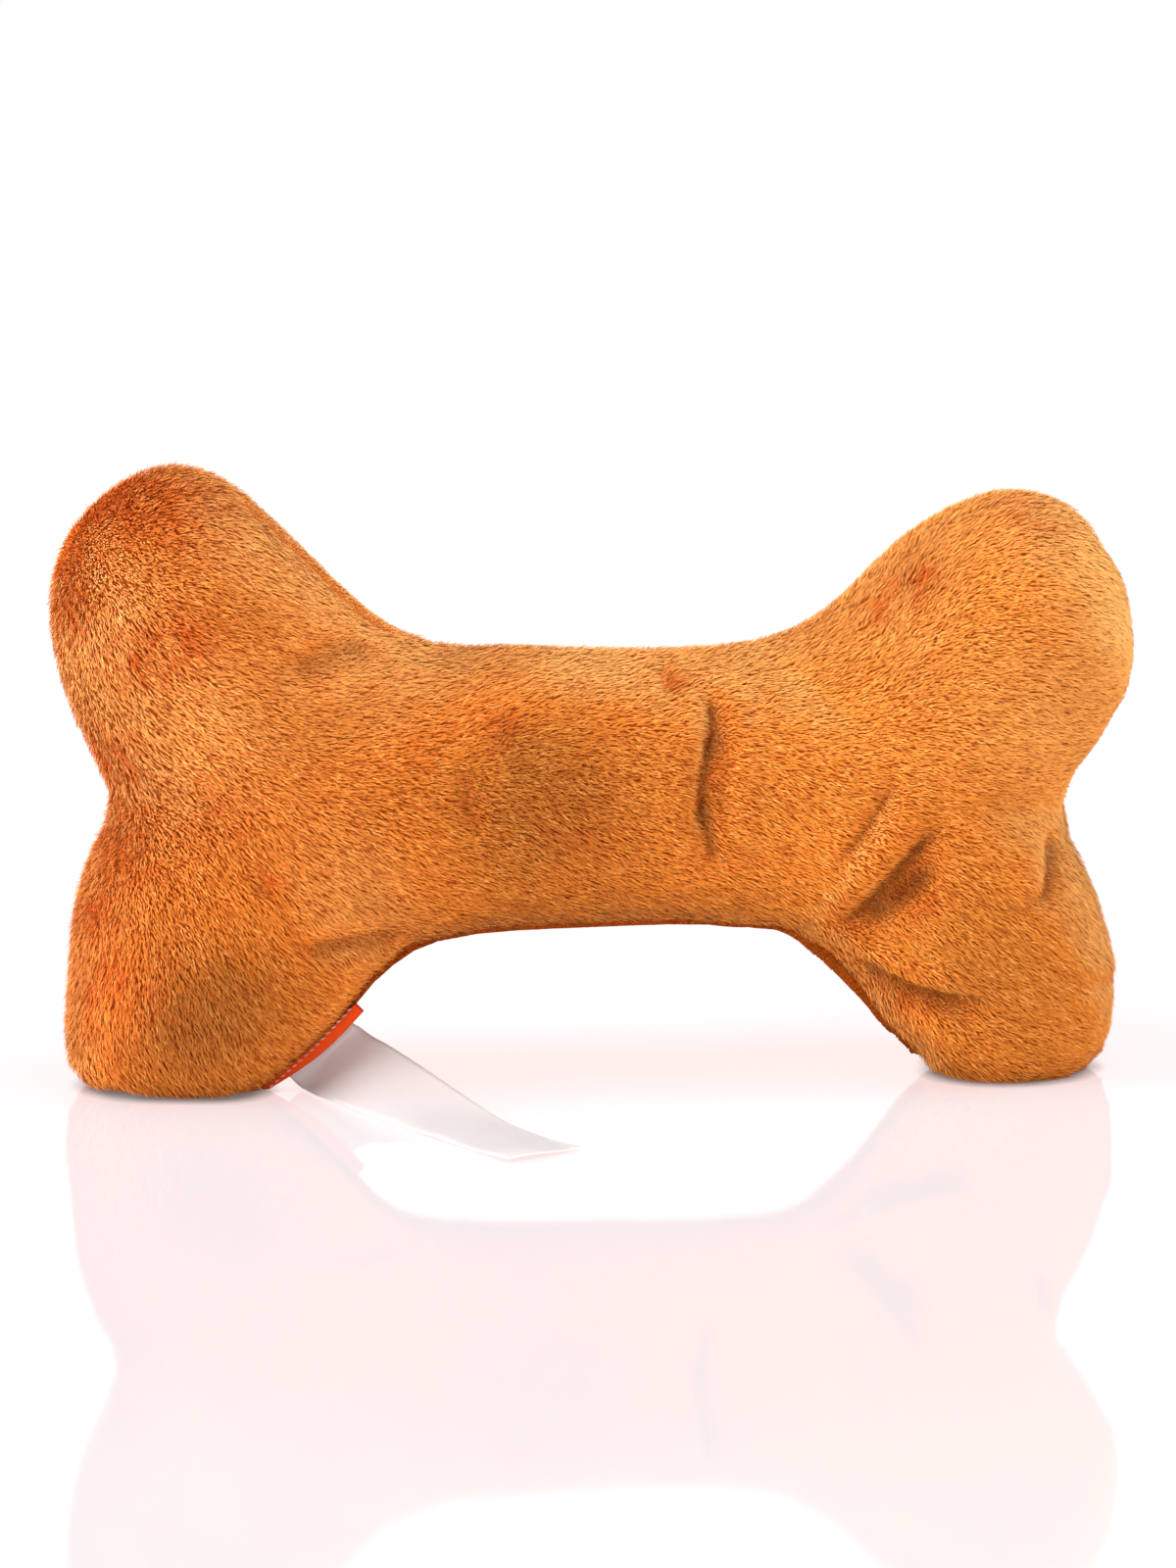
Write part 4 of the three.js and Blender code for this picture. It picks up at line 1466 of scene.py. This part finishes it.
def make_closing_stitch(context):
    """The ladder stitch over the turning gap, drawn up into the seam between the panels."""
    bm = welded("closing_thread")
    sunk = context.scene.plush_bone_inside.stitch_sunk
    bmesh.ops.translate(bm, verts=bm.verts, vec=(0, 0, sunk))
    stitch = from_bmesh("ladder_stitch", bm)
    stitch.data.shade_smooth()
    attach(stitch, "bone")
    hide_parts("closing_thread")
    return stitch


# Materials


def cleared(owner):
    """The node tree of a material or a world, with nothing in it."""
    owner.use_nodes = True
    owner.node_tree.nodes.clear()
    return owner.node_tree


def new_material(name):
    material = bpy.data.materials.new(name)
    tree = cleared(material)
    shader = tree.nodes.new("ShaderNodeBsdfPrincipled")
    out = tree.nodes.new("ShaderNodeOutputMaterial")
    tree.links.new(shader.outputs[0], out.inputs["Surface"])
    return material, tree, shader


def finish(tree, shader, looks):
    """Gives the shader's own inputs their numbers, colours and sockets."""
    for name, value in looks.items():
        feed(tree, value, shader.inputs[name])


def product(tree, first, *others):
    for other in others:
        first = maths(tree, "MULTIPLY", first, other)
    return first


def off_middle(tree, value):
    """How far a value lies from one half."""
    return maths(tree, "ABSOLUTE", maths(tree, "SUBTRACT", value, 0.5))


def axes_of(tree, vector):
    return add_node(tree, "ShaderNodeSeparateXYZ", {0: vector}).outputs


def blend_colours(tree, share, first, second, mode="MIX"):
    """Mix of two colours, each a socket or four numbers."""
    node = tree.nodes.new("ShaderNodeMix")
    node.data_type = "RGBA"
    node.blend_type = mode
    for index, value in ((0, share), (6, first), (7, second)):
        feed(tree, value, node.inputs[index])
    return node.outputs[2]


def attribute_of(tree, name):
    return add_node(tree, "ShaderNodeAttribute", attribute_name=name).outputs["Fac"]


def spread(tree, value, low, high, to_low=0.0, to_high=1.0):
    """Maps a value from one range to another, held inside it."""
    node = add_node(
        tree,
        "ShaderNodeMapRange",
        {"Value": value, "From Min": low, "From Max": high, "To Min": to_low, "To Max": to_high},
    )
    return node.outputs[0]


def noise(tree, vector, scale, detail=2.0):
    node = add_node(tree, "ShaderNodeTexNoise", {"Vector": vector, "Scale": scale, "Detail": detail})
    return node.outputs["Fac"]


def brighten(tree, colour, value):
    return add_node(tree, "ShaderNodeHueSaturation", {"Color": colour, "Value": value}).outputs[0]


def bump(tree, height, distance, strength=1.0):
    values = {"Height": height, "Distance": distance, "Strength": strength}
    return add_node(tree, "ShaderNodeBump", values).outputs[0]


def object_place(tree):
    return add_node(tree, "ShaderNodeTexCoord").outputs["Object"]


def effect(name, inputs, outputs):
    """New empty shader group with these sockets."""
    tree = bpy.data.node_groups.new(name, "ShaderNodeTree")
    for label, kind in inputs:
        tree.interface.new_socket(label, in_out="INPUT", socket_type=kind)
    for label, kind in outputs:
        tree.interface.new_socket(label, in_out="OUTPUT", socket_type=kind)
    return tree, tree.nodes.new("NodeGroupInput"), tree.nodes.new("NodeGroupOutput")


def mottle_group():
    """Soft patches of lighter and darker colour."""
    tree, start, end = effect(
        "Mottle",
        [("Colour", "NodeSocketColor"), ("Scale", "NodeSocketFloat"), ("Amount", "NodeSocketFloat")],
        [("Colour", "NodeSocketColor"), ("Patch", "NodeSocketFloat")],
    )
    patch = noise(tree, object_place(tree), start.outputs["Scale"], 3.0)
    off = maths(tree, "SUBTRACT", spread(tree, patch, 0.25, 0.75), 0.5)
    level = maths(tree, "MULTIPLY_ADD", off, start.outputs["Amount"], 1.0)
    tree.links.new(brighten(tree, start.outputs["Colour"], level), end.inputs["Colour"])
    tree.links.new(patch, end.inputs["Patch"])
    return tree


def fibre_group():
    """Fine tangled fibres: a height and a mask."""
    tree, start, end = effect(
        "Fibres",
        [("Scale", "NodeSocketFloat"), ("Stretch", "NodeSocketVector")],
        [("Height", "NodeSocketFloat"), ("Mask", "NodeSocketFloat")],
    )
    scale = start.outputs["Scale"]
    place = vector_maths(tree, "MULTIPLY", object_place(tree), start.outputs["Stretch"])
    warped = add_node(tree, "ShaderNodeTexNoise", {"Vector": place, "Scale": scale})
    bent = add_node(
        tree, "ShaderNodeVectorMath", {0: warped.outputs["Color"], "Scale": 0.01}, operation="SCALE"
    )
    moved = vector_maths(tree, "ADD", place, bent.outputs[0])
    ridge = off_middle(tree, noise(tree, moved, product(tree, scale, 4.0), 4.0))
    tree.links.new(spread(tree, ridge, 0.0, 0.16, 1.0, 0.0), end.inputs["Height"])
    tree.links.new(spread(tree, ridge, 0.02, 0.1), end.inputs["Mask"])
    return tree


def weave_group():
    """Warp and weft threads that pass over and under one another."""
    tree, start, end = effect(
        "Weave",
        [("Map", "NodeSocketVector"), ("Warps", "NodeSocketFloat"), ("Wefts", "NodeSocketFloat")],
        [("Height", "NodeSocketFloat"), ("Thread", "NodeSocketFloat")],
    )

    def rounded(count):
        return maths(tree, "ABSOLUTE", maths(tree, "SINE", product(tree, count, math.pi)))

    across, along, _ = axes_of(tree, start.outputs["Map"])
    warp = product(tree, across, start.outputs["Warps"])
    weft = product(tree, along, start.outputs["Wefts"])
    # Satin: a warp thread shows over four wefts and dives under the fifth
    rows = maths(tree, "FLOOR", weft)
    columns = maths(tree, "MULTIPLY_ADD", maths(tree, "FLOOR", warp), 3.0, rows)
    under = maths(tree, "LESS_THAN", maths(tree, "FLOORED_MODULO", columns, 5.0), 0.5)
    height = add_node(tree, "ShaderNodeMix", {0: under, 2: rounded(warp), 3: rounded(weft)})
    tree.links.new(height.outputs[0], end.inputs["Height"])
    tree.links.new(under, end.inputs["Thread"])
    return tree


GROUPS = {"Mottle": mottle_group, "Fibres": fibre_group, "Weave": weave_group}


def use_group(tree, name, **inputs):
    """Places a shader group, which is built the first time that it is asked for."""
    node = tree.nodes.new("ShaderNodeGroup")
    node.node_tree = bpy.data.node_groups.get(name) or GROUPS[name]()
    for label, value in inputs.items():
        feed(tree, value, node.inputs[label])
    return node


def mottled(tree, colour, scale, amount):
    """A colour in soft lighter and darker patches."""
    return use_group(tree, "Mottle", Colour=colour, Scale=scale, Amount=amount).outputs["Colour"]


def pile_material(plush):
    material, tree, shader = new_material("Plush pile")
    names = ("shade", "ruffled", "hollow_shade", "light")
    shade, ruffled, hollow_shade, painted_light = [attribute_of(tree, name) for name in names]
    place = object_place(tree)
    # The tips lean to the right, so the left end shows more of the pile's red depth
    rightward = axes_of(tree, place)[0]
    leaning = spread(tree, rightward, -0.13, 0.06, 0.3, 0.0)
    ragged = spread(tree, noise(tree, place, 190.0, 3.0), 0.35, 0.65, 0.2, 1.5)
    red = maths(tree, "MULTIPLY_ADD", ragged, ruffled, leaning)
    # Painted shade in the creases and on the seam line also turns the pile redder
    red = maths(tree, "MULTIPLY_ADD", hollow_shade, 0.3, red)
    # Painted sheen: the tips turn pale where the painted light is strong
    pale = blend_colours(tree, spread(tree, painted_light, 0.0, 1.0), plush.tip[:], plush.pale[:])
    tone = blend_colours(tree, spread(tree, red, 0.0, 1.0), pale, plush.ruffled[:])
    # Painted shade: dark tufts mark the gaps between the locks, in some places more than in others
    gap_shade = product(
        tree,
        spread(tree, noise(tree, place, 34.0), 0.35, 0.65, 0.45, 0.95),
        spread(tree, painted_light, 0.0, 0.9, 1.0, 0.6),
        spread(tree, rightward, -0.03, 0.06, 1.0, 0.75),
        spread(tree, shade, 0.1, 0.45, 1.0, 0.0),
    )
    stroked = blend_colours(tree, gap_shade, tone, plush.root[:])
    # Painted highlight: the lightest locks turn pale
    stroked = blend_colours(tree, spread(tree, shade, 0.6, 1.0, 0.0, 0.4), stroked, plush.pale[:])
    # Painted shade: each tuft darkens to the root colour towards its root
    along = spread(tree, attribute_of(tree, "tip"), 0.0, 0.5)
    colour = blend_colours(tree, along, plush.root[:], stroked)
    # Painted light and shade: lighter locks, the painted light and its patches, and painted shade in
    # the creases and on the seam line
    light = product(
        tree,
        spread(tree, shade, 0.45, 0.9, 0.97, 1.12),
        spread(tree, painted_light, -1.0, 0.0, 0.56, 1.0),
        spread(tree, hollow_shade, 0.4, 1.4, 1.0, 0.2),
        spread(tree, ruffled, 0.2, 0.8, 1.0, 0.98),
    )
    looks = {
        "Base Color": mottled(tree, brighten(tree, colour, light), 45.0, 0.2),
        "Roughness": 0.62,
        "Specular IOR Level": 0.12,
        "Sheen Weight": 0.35,
        "Sheen Roughness": 0.42,
        "Sheen Tint": srgb(255, 206, 124),
    }
    finish(tree, shader, looks)
    return material


def fibrous_material(name, first, second, fibres, relief, patches, looks):
    """Tangled fibres in two colours, with a relief and, where wanted, soft patches."""
    material, tree, shader = new_material(name)
    scale, stretch = fibres
    tangle = use_group(tree, "Fibres", Scale=scale, Stretch=stretch)
    colour = blend_colours(tree, tangle.outputs["Mask"], first, second)
    if patches:
        colour = mottled(tree, colour, *patches)
    normal = bump(tree, tangle.outputs["Height"], *relief)
    finish(tree, shader, {"Base Color": colour, "Normal": normal, **looks})
    return material


def ground_material(plush):
    """The backing between the tufts."""
    return fibrous_material(
        "Plush ground",
        plush.ruffled[:],
        plush.tip[:],
        fibres=(260.0, (1.0, 1.0, 1.4)),
        relief=(0.4 * MM, 0.7),
        patches=(60.0, 0.2),
        looks={"Roughness": 0.88, "Specular IOR Level": 0.1},
    )


def stuffing_material(inside):
    return fibrous_material(
        "Polyester fibre",
        inside.fibre[:],
        srgb(214, 211, 204),
        fibres=(150.0, (1.0, 1.6, 0.7)),
        relief=(0.8 * MM, 0.8),
        patches=(80.0, 0.1),
        looks={"Roughness": 0.8, "Sheen Weight": 0.3},
    )


def stitch_material(label):
    return fibrous_material(
        "Tab stitch",
        label.stitch[:],
        srgb(222, 190, 184),
        fibres=(900.0, (1.0, 1.0, 1.0)),
        relief=(0.05 * MM, 0.7),
        patches=None,
        looks={"Roughness": 0.6},
    )


def thread_material(inside):
    material, tree, shader = new_material("Sewing thread")
    ply = add_node(
        tree,
        "ShaderNodeTexWave",
        {"Vector": object_place(tree), "Scale": 900.0, "Distortion": 1.5, "Detail": 1.0},
        bands_direction="DIAGONAL",
    ).outputs["Fac"]
    shaded = blend_colours(tree, ply, srgb(164, 78, 26), inside.thread[:])
    looks = {
        "Base Color": mottled(tree, shaded, 180.0, 0.12),
        "Normal": bump(tree, ply, 0.08 * MM, 0.8),
        "Roughness": 0.55,
        "Sheen Weight": 0.2,
    }
    finish(tree, shader, looks)
    return material


def bulb_material(inside):
    """Soft blow-moulded plastic with a parting line and a little dust in patches."""
    material, tree, shader = new_material("Squeaker plastic")
    place = object_place(tree)
    centre = middle_of("squeaker_bellows")
    sideways = axes_of(tree, vector_maths(tree, "SUBTRACT", place, tuple(centre)))[0]
    parting = spread(tree, maths(tree, "ABSOLUTE", sideways), 0.1 * MM, 0.35 * MM, 1.0, 0.0)
    worn = spread(tree, noise(tree, place, 420.0, 3.0), 0.55, 0.75)
    plain = mottled(tree, inside.bulb[:], 140.0, 0.07)
    height = maths(tree, "MULTIPLY_ADD", noise(tree, place, 1500.0, 2.0), 0.12, parting)
    looks = {
        "Base Color": blend_colours(tree, product(tree, worn, 0.25), plain, srgb(205, 198, 180)),
        "Roughness": spread(tree, noise(tree, place, 600.0, 2.0), 0.3, 0.7, 0.38, 0.52),
        "Normal": bump(tree, height, 0.12 * MM, 0.8),
        "Subsurface Weight": 0.15,
        "Subsurface Scale": 1.0,
        "Subsurface Radius": (1.2 * MM, 1.0 * MM, 0.8 * MM),
    }
    finish(tree, shader, looks)
    return material


def reed_material(inside):
    """Thin clear-cut sheet with fine scratches along it."""
    material, tree, shader = new_material("Reed plastic")
    drawn = vector_maths(tree, "MULTIPLY", object_place(tree), (9.0, 9.0, 0.5))
    scratches = noise(tree, drawn, 900.0, 2.0)
    marked = spread(tree, scratches, 0.5, 0.7)
    looks = {
        "Base Color": blend_colours(tree, marked, inside.reed[:], srgb(240, 238, 232)),
        "Roughness": spread(tree, scratches, 0.3, 0.7, 0.22, 0.42),
        "Normal": bump(tree, scratches, 0.03 * MM, 0.6),
    }
    finish(tree, shader, looks)
    return material


# Distance from one warp to the next and from one weft to the next, in millimetres
WARP_PITCH, WEFT_PITCH = 0.16, 0.2


def woven_strip(tree, width, length):
    """The weave of a strip of this size, and the shares across and along its own map."""
    uv = add_node(tree, "ShaderNodeUVMap", uv_map="OFBake").outputs[0]
    warps, wefts = width / (WARP_PITCH * MM), length / (WEFT_PITCH * MM)
    weave = use_group(tree, "Weave", Map=uv, Warps=warps, Wefts=wefts)
    across, along, _ = axes_of(tree, uv)
    return weave.outputs["Height"], weave.outputs["Thread"], across, along


def satin_material(label):
    """White satin ribbon: fine warps that shine across, with a corded edge."""
    material, tree, shader = new_material("Satin ribbon")
    relief, thread, across, along = woven_strip(tree, label.ribbon_width, 100 * MM)
    edge = spread(tree, off_middle(tree, across), 0.47, 0.48)
    firm = maths(tree, "MAXIMUM", edge, spread(tree, along, 0.988, 0.994))
    shaded = blend_colours(tree, product(tree, thread, 0.35), label.satin[:], srgb(248, 232, 232))
    colour = blend_colours(tree, product(tree, firm, 0.6), shaded, srgb(240, 230, 229))
    height = maths(tree, "MULTIPLY_ADD", firm, 1.2, relief)
    # Thin satin lets through some of the light from behind it
    looks = {
        "Base Color": mottled(tree, colour, 70.0, 0.03),
        "Roughness": maths(tree, "MULTIPLY_ADD", firm, 0.15, 0.28),
        "Normal": bump(tree, height, 0.05 * MM, 0.7),
        "Anisotropic": 0.5,
        "Subsurface Weight": 0.6,
        "Subsurface Scale": 1.0,
        "Subsurface Radius": (4 * MM, 3 * MM, 3 * MM),
    }
    finish(tree, shader, looks)
    return material


def tab_material(label):
    """Red woven tab: ribs along the strip and a firmer woven edge at both ends."""
    material, tree, shader = new_material("Woven tab")
    relief, thread, across, along = woven_strip(tree, 2.4 * label.tab_reach, label.tab_length)
    edge = spread(tree, off_middle(tree, along), 0.48, 0.488)
    shaded = blend_colours(tree, product(tree, thread, 0.4), label.tab[:], srgb(240, 58, 12))
    colour = blend_colours(tree, product(tree, edge, 0.5), shaded, srgb(214, 44, 12))
    # Where it goes into the seam, it lies in deep shade
    deep = spread(tree, off_middle(tree, across), 0.284, 0.312)
    colour = blend_colours(tree, deep, colour, srgb(92, 20, 6))
    height = maths(tree, "MULTIPLY_ADD", edge, 1.0, relief)
    looks = {
        "Base Color": mottled(tree, colour, 260.0, 0.1),
        "Normal": bump(tree, height, 0.08 * MM, 0.8),
        "Roughness": 0.6,
        "Specular IOR Level": 0.15,
    }
    finish(tree, shader, looks)
    return material


def table_material(studio):
    """Glossy white table that fades into the white round it."""
    material = bpy.data.materials.new("Glossy white table")
    tree = cleared(material)
    seen = add_node(tree, "ShaderNodeLightPath").outputs["Is Camera Ray"]
    far = add_node(tree, "ShaderNodeVectorMath", {0: object_place(tree)}, operation="LENGTH")
    away = spread(tree, far.outputs["Value"], 0.22, 0.8)
    # Painted contact shadow: round the two feet only, the glow darkens where ambient occlusion is close
    place = axes_of(tree, object_place(tree))[0]
    foot = spread(tree, maths(tree, "ABSOLUTE", place), 0.066, 0.078)
    close = add_node(tree, "ShaderNodeAmbientOcclusion", {"Distance": 5 * MM}, samples=8)
    contact_shade = spread(tree, close.outputs["AO"], 0.1, 0.85, 0.8, 0.0)
    level = maths(tree, "MULTIPLY_ADD", product(tree, foot, contact_shade), -1.0, 1.0)
    # The light that it throws back is white. To the camera its diffuse colour is teal and its glow
    # near the toy pink, so that the lit floor reads white and its faint shadows get a painted warm tint
    white = blend_colours(tree, seen, srgb(246, 242, 240), srgb(47, 107, 119))
    matt = add_node(tree, "ShaderNodeBsdfDiffuse", {"Color": white})
    glow = add_node(
        tree,
        "ShaderNodeEmission",
        {
            "Color": blend_colours(tree, away, (1.06, 0.8, 0.77, 1), (1.1, 1.1, 1.1, 1)),
            "Strength": product(tree, seen, level),
        },
    )
    both = add_node(tree, "ShaderNodeAddShader", {0: matt.outputs[0], 1: glow.outputs[0]})
    mirror = add_node(tree, "ShaderNodeBsdfGlossy", {"Color": (1, 1, 1, 1), "Roughness": 0.05})
    mixed = add_node(
        tree, "ShaderNodeMixShader", {"Fac": studio.mirror, 1: both.outputs[0], 2: mirror.outputs[0]}
    )
    out = tree.nodes.new("ShaderNodeOutputMaterial")
    tree.links.new(mixed.outputs[0], out.inputs["Surface"])
    return material


def white_world(studio):
    """White to the camera and in reflections, and a soft even light on everything else."""
    world = bpy.data.worlds.new("White studio")
    tree = cleared(world)
    path = add_node(tree, "ShaderNodeLightPath")
    seen = maths(tree, "MAXIMUM", path.outputs["Is Camera Ray"], path.outputs["Is Glossy Ray"])
    seen = maths(tree, "MAXIMUM", seen, path.outputs["Is Transmission Ray"])
    strength = spread(tree, seen, 0.0, 1.0, studio.sky, 1.0)
    sky = add_node(tree, "ShaderNodeBackground", {"Color": (1, 1, 1, 1), "Strength": strength})
    out = tree.nodes.new("ShaderNodeOutputWorld")
    tree.links.new(sky.outputs[0], out.inputs["Surface"])
    return world


# Operators


class PLUSHBONE_OT_stage(bpy.types.Operator):
    """Sets up the floor, the light and the camera"""

    bl_idname = "plush_bone.stage"
    bl_label = "Stage"

    # Name, place, target, size and power of each lamp
    LAMPS = [
        ("top_lamp", (-0.04, -0.1, 1.1), (0, 0.03, 0.08), 0.8, 9.7),
        ("left_lamp", (-1.2, -0.2, 0.4), (0, 0, 0.08), 0.8, 16.5),
        ("right_lamp", (1.1, 0.0, 0.6), (0, 0, 0.08), 0.7, 6.4),
        ("front_lamp", (-0.75, -1.1, 0.1), (-0.05, 0, 0.05), 1.0, 3.0),
        ("low_right_lamp", (0.4, -0.8, 0.1), (-0.05, -0.03, 0.03), 0.4, 1.1),
        ("low_left_lamp", (-0.45, -0.7, 0.03), (0.06, 0, 0.02), 0.3, 1.8),
    ]

    def execute(self, context):
        studio = context.scene.plush_bone_studio
        scene = context.scene
        bm = bmesh.new()
        bmesh.ops.create_grid(bm, x_segments=1, y_segments=1, size=6)
        floor = from_bmesh("floor", bm)
        dress(floor, table_material(studio))
        scene.world = white_world(studio)
        for name, place, target, size, power in self.LAMPS:
            lamp = bpy.data.lights.new(name, "AREA")
            lamp.shape = "DISK"
            lamp.size = size
            lamp.energy = power
            obj = bpy.data.objects.new(name, lamp)
            scene.collection.objects.link(obj)
            obj.location = place
            aim = Vector(target) - Vector(place)
            obj.rotation_euler = aim.to_track_quat("-Z", "Y").to_euler()

        data = bpy.data.cameras.new("camera")
        camera = bpy.data.objects.new("camera", data)
        scene.collection.objects.link(camera)
        scene.camera = camera
        camera.location = studio.camera_place
        turn, drop = studio.camera_turn, studio.camera_drop
        level = math.cos(drop)
        look = Vector((math.sin(turn) * level, math.cos(turn) * level, -math.sin(drop)))
        camera.rotation_euler = look.to_track_quat("-Z", "Y").to_euler()
        data.lens = studio.lens
        data.sensor_width = 36
        data.clip_start = 0.01
        scene.view_settings.view_transform = "Standard"
        return {"FINISHED"}


class PLUSHBONE_OT_plush(bpy.types.Operator):
    """Builds the two panels of plush and their pile"""

    bl_idname = "plush_bone.plush"
    bl_label = "Plush"

    def execute(self, context):
        plush = context.scene.plush_bone_plush
        skins = make_skin(context)
        pile = make_pile(context, skins)
        ground = ground_material(plush)
        fur = pile_material(plush)
        for skin in skins.values():
            dress(skin, ground)
        for carpet in pile:
            dress(carpet, fur)
        return {"FINISHED"}


class PLUSHBONE_OT_labels(bpy.types.Operator):
    """Builds the satin care label and the woven tab with its stitches"""

    bl_idname = "plush_bone.labels"
    bl_label = "Labels"

    def execute(self, context):
        label = context.scene.plush_bone_label
        dress(make_ribbon(context), satin_material(label))
        dress(make_tab(context), tab_material(label))
        dress(make_tab_stitches(context), stitch_material(label))
        return {"FINISHED"}


class PLUSHBONE_OT_stuffing(bpy.types.Operator):
    """Builds the six clumps of gathered fibre"""

    bl_idname = "plush_bone.stuffing"
    bl_label = "Stuffing"

    def execute(self, context):
        fibre = stuffing_material(context.scene.plush_bone_inside)
        for clump in make_stuffing(context):
            dress(clump, fibre)
        return {"FINISHED"}


class PLUSHBONE_OT_finishes(bpy.types.Operator):
    """Sinks the closing stitch, and finishes the threads and the squeaker"""

    bl_idname = "plush_bone.finishes"
    bl_label = "Threads and squeaker"

    def execute(self, context):
        inside = context.scene.plush_bone_inside
        thread = thread_material(inside)
        bulb = bulb_material(inside)
        dress(make_closing_stitch(context), thread)
        looks = {
            "seam_thread": thread,
            "squeaker_bellows": bulb,
            "squeaker_plug": bulb,
            "squeaker_reed": reed_material(inside),
        }
        for node, look in looks.items():
            for slot in frame["nodes"][node].material_slots:
                slot.material = look
        return {"FINISHED"}


class PLUSHBONE_PT_panel(bpy.types.Panel):
    """Lists the pieces of the toy"""

    bl_idname = "PLUSHBONE_PT_panel"
    bl_label = "Plush bone"
    bl_space_type = "VIEW_3D"
    bl_region_type = "UI"
    bl_category = "Plush bone"

    def draw(self, context):
        for operator in OPERATORS:
            self.layout.operator(operator.bl_idname)


OPERATORS = (
    PLUSHBONE_OT_stage,
    PLUSHBONE_OT_plush,
    PLUSHBONE_OT_labels,
    PLUSHBONE_OT_stuffing,
    PLUSHBONE_OT_finishes,
)
SETTINGS = {
    "plush_bone_plush": PlushSettings,
    "plush_bone_label": LabelSettings,
    "plush_bone_inside": InsideSettings,
    "plush_bone_studio": StudioSettings,
}
CLASSES = (*SETTINGS.values(), *OPERATORS, PLUSHBONE_PT_panel)


def register():
    for item in CLASSES:
        bpy.utils.register_class(item)
    for name, group in SETTINGS.items():
        setattr(bpy.types.Scene, name, bpy.props.PointerProperty(type=group))


def unregister():
    for name in SETTINGS:
        delattr(bpy.types.Scene, name)
    for item in reversed(CLASSES):
        bpy.utils.unregister_class(item)


def main():
    register()
    bpy.ops.plush_bone.stage()
    bpy.ops.plush_bone.plush()
    bpy.ops.plush_bone.labels()
    bpy.ops.plush_bone.stuffing()
    bpy.ops.plush_bone.finishes()


if __name__ == "__main__":
    main()
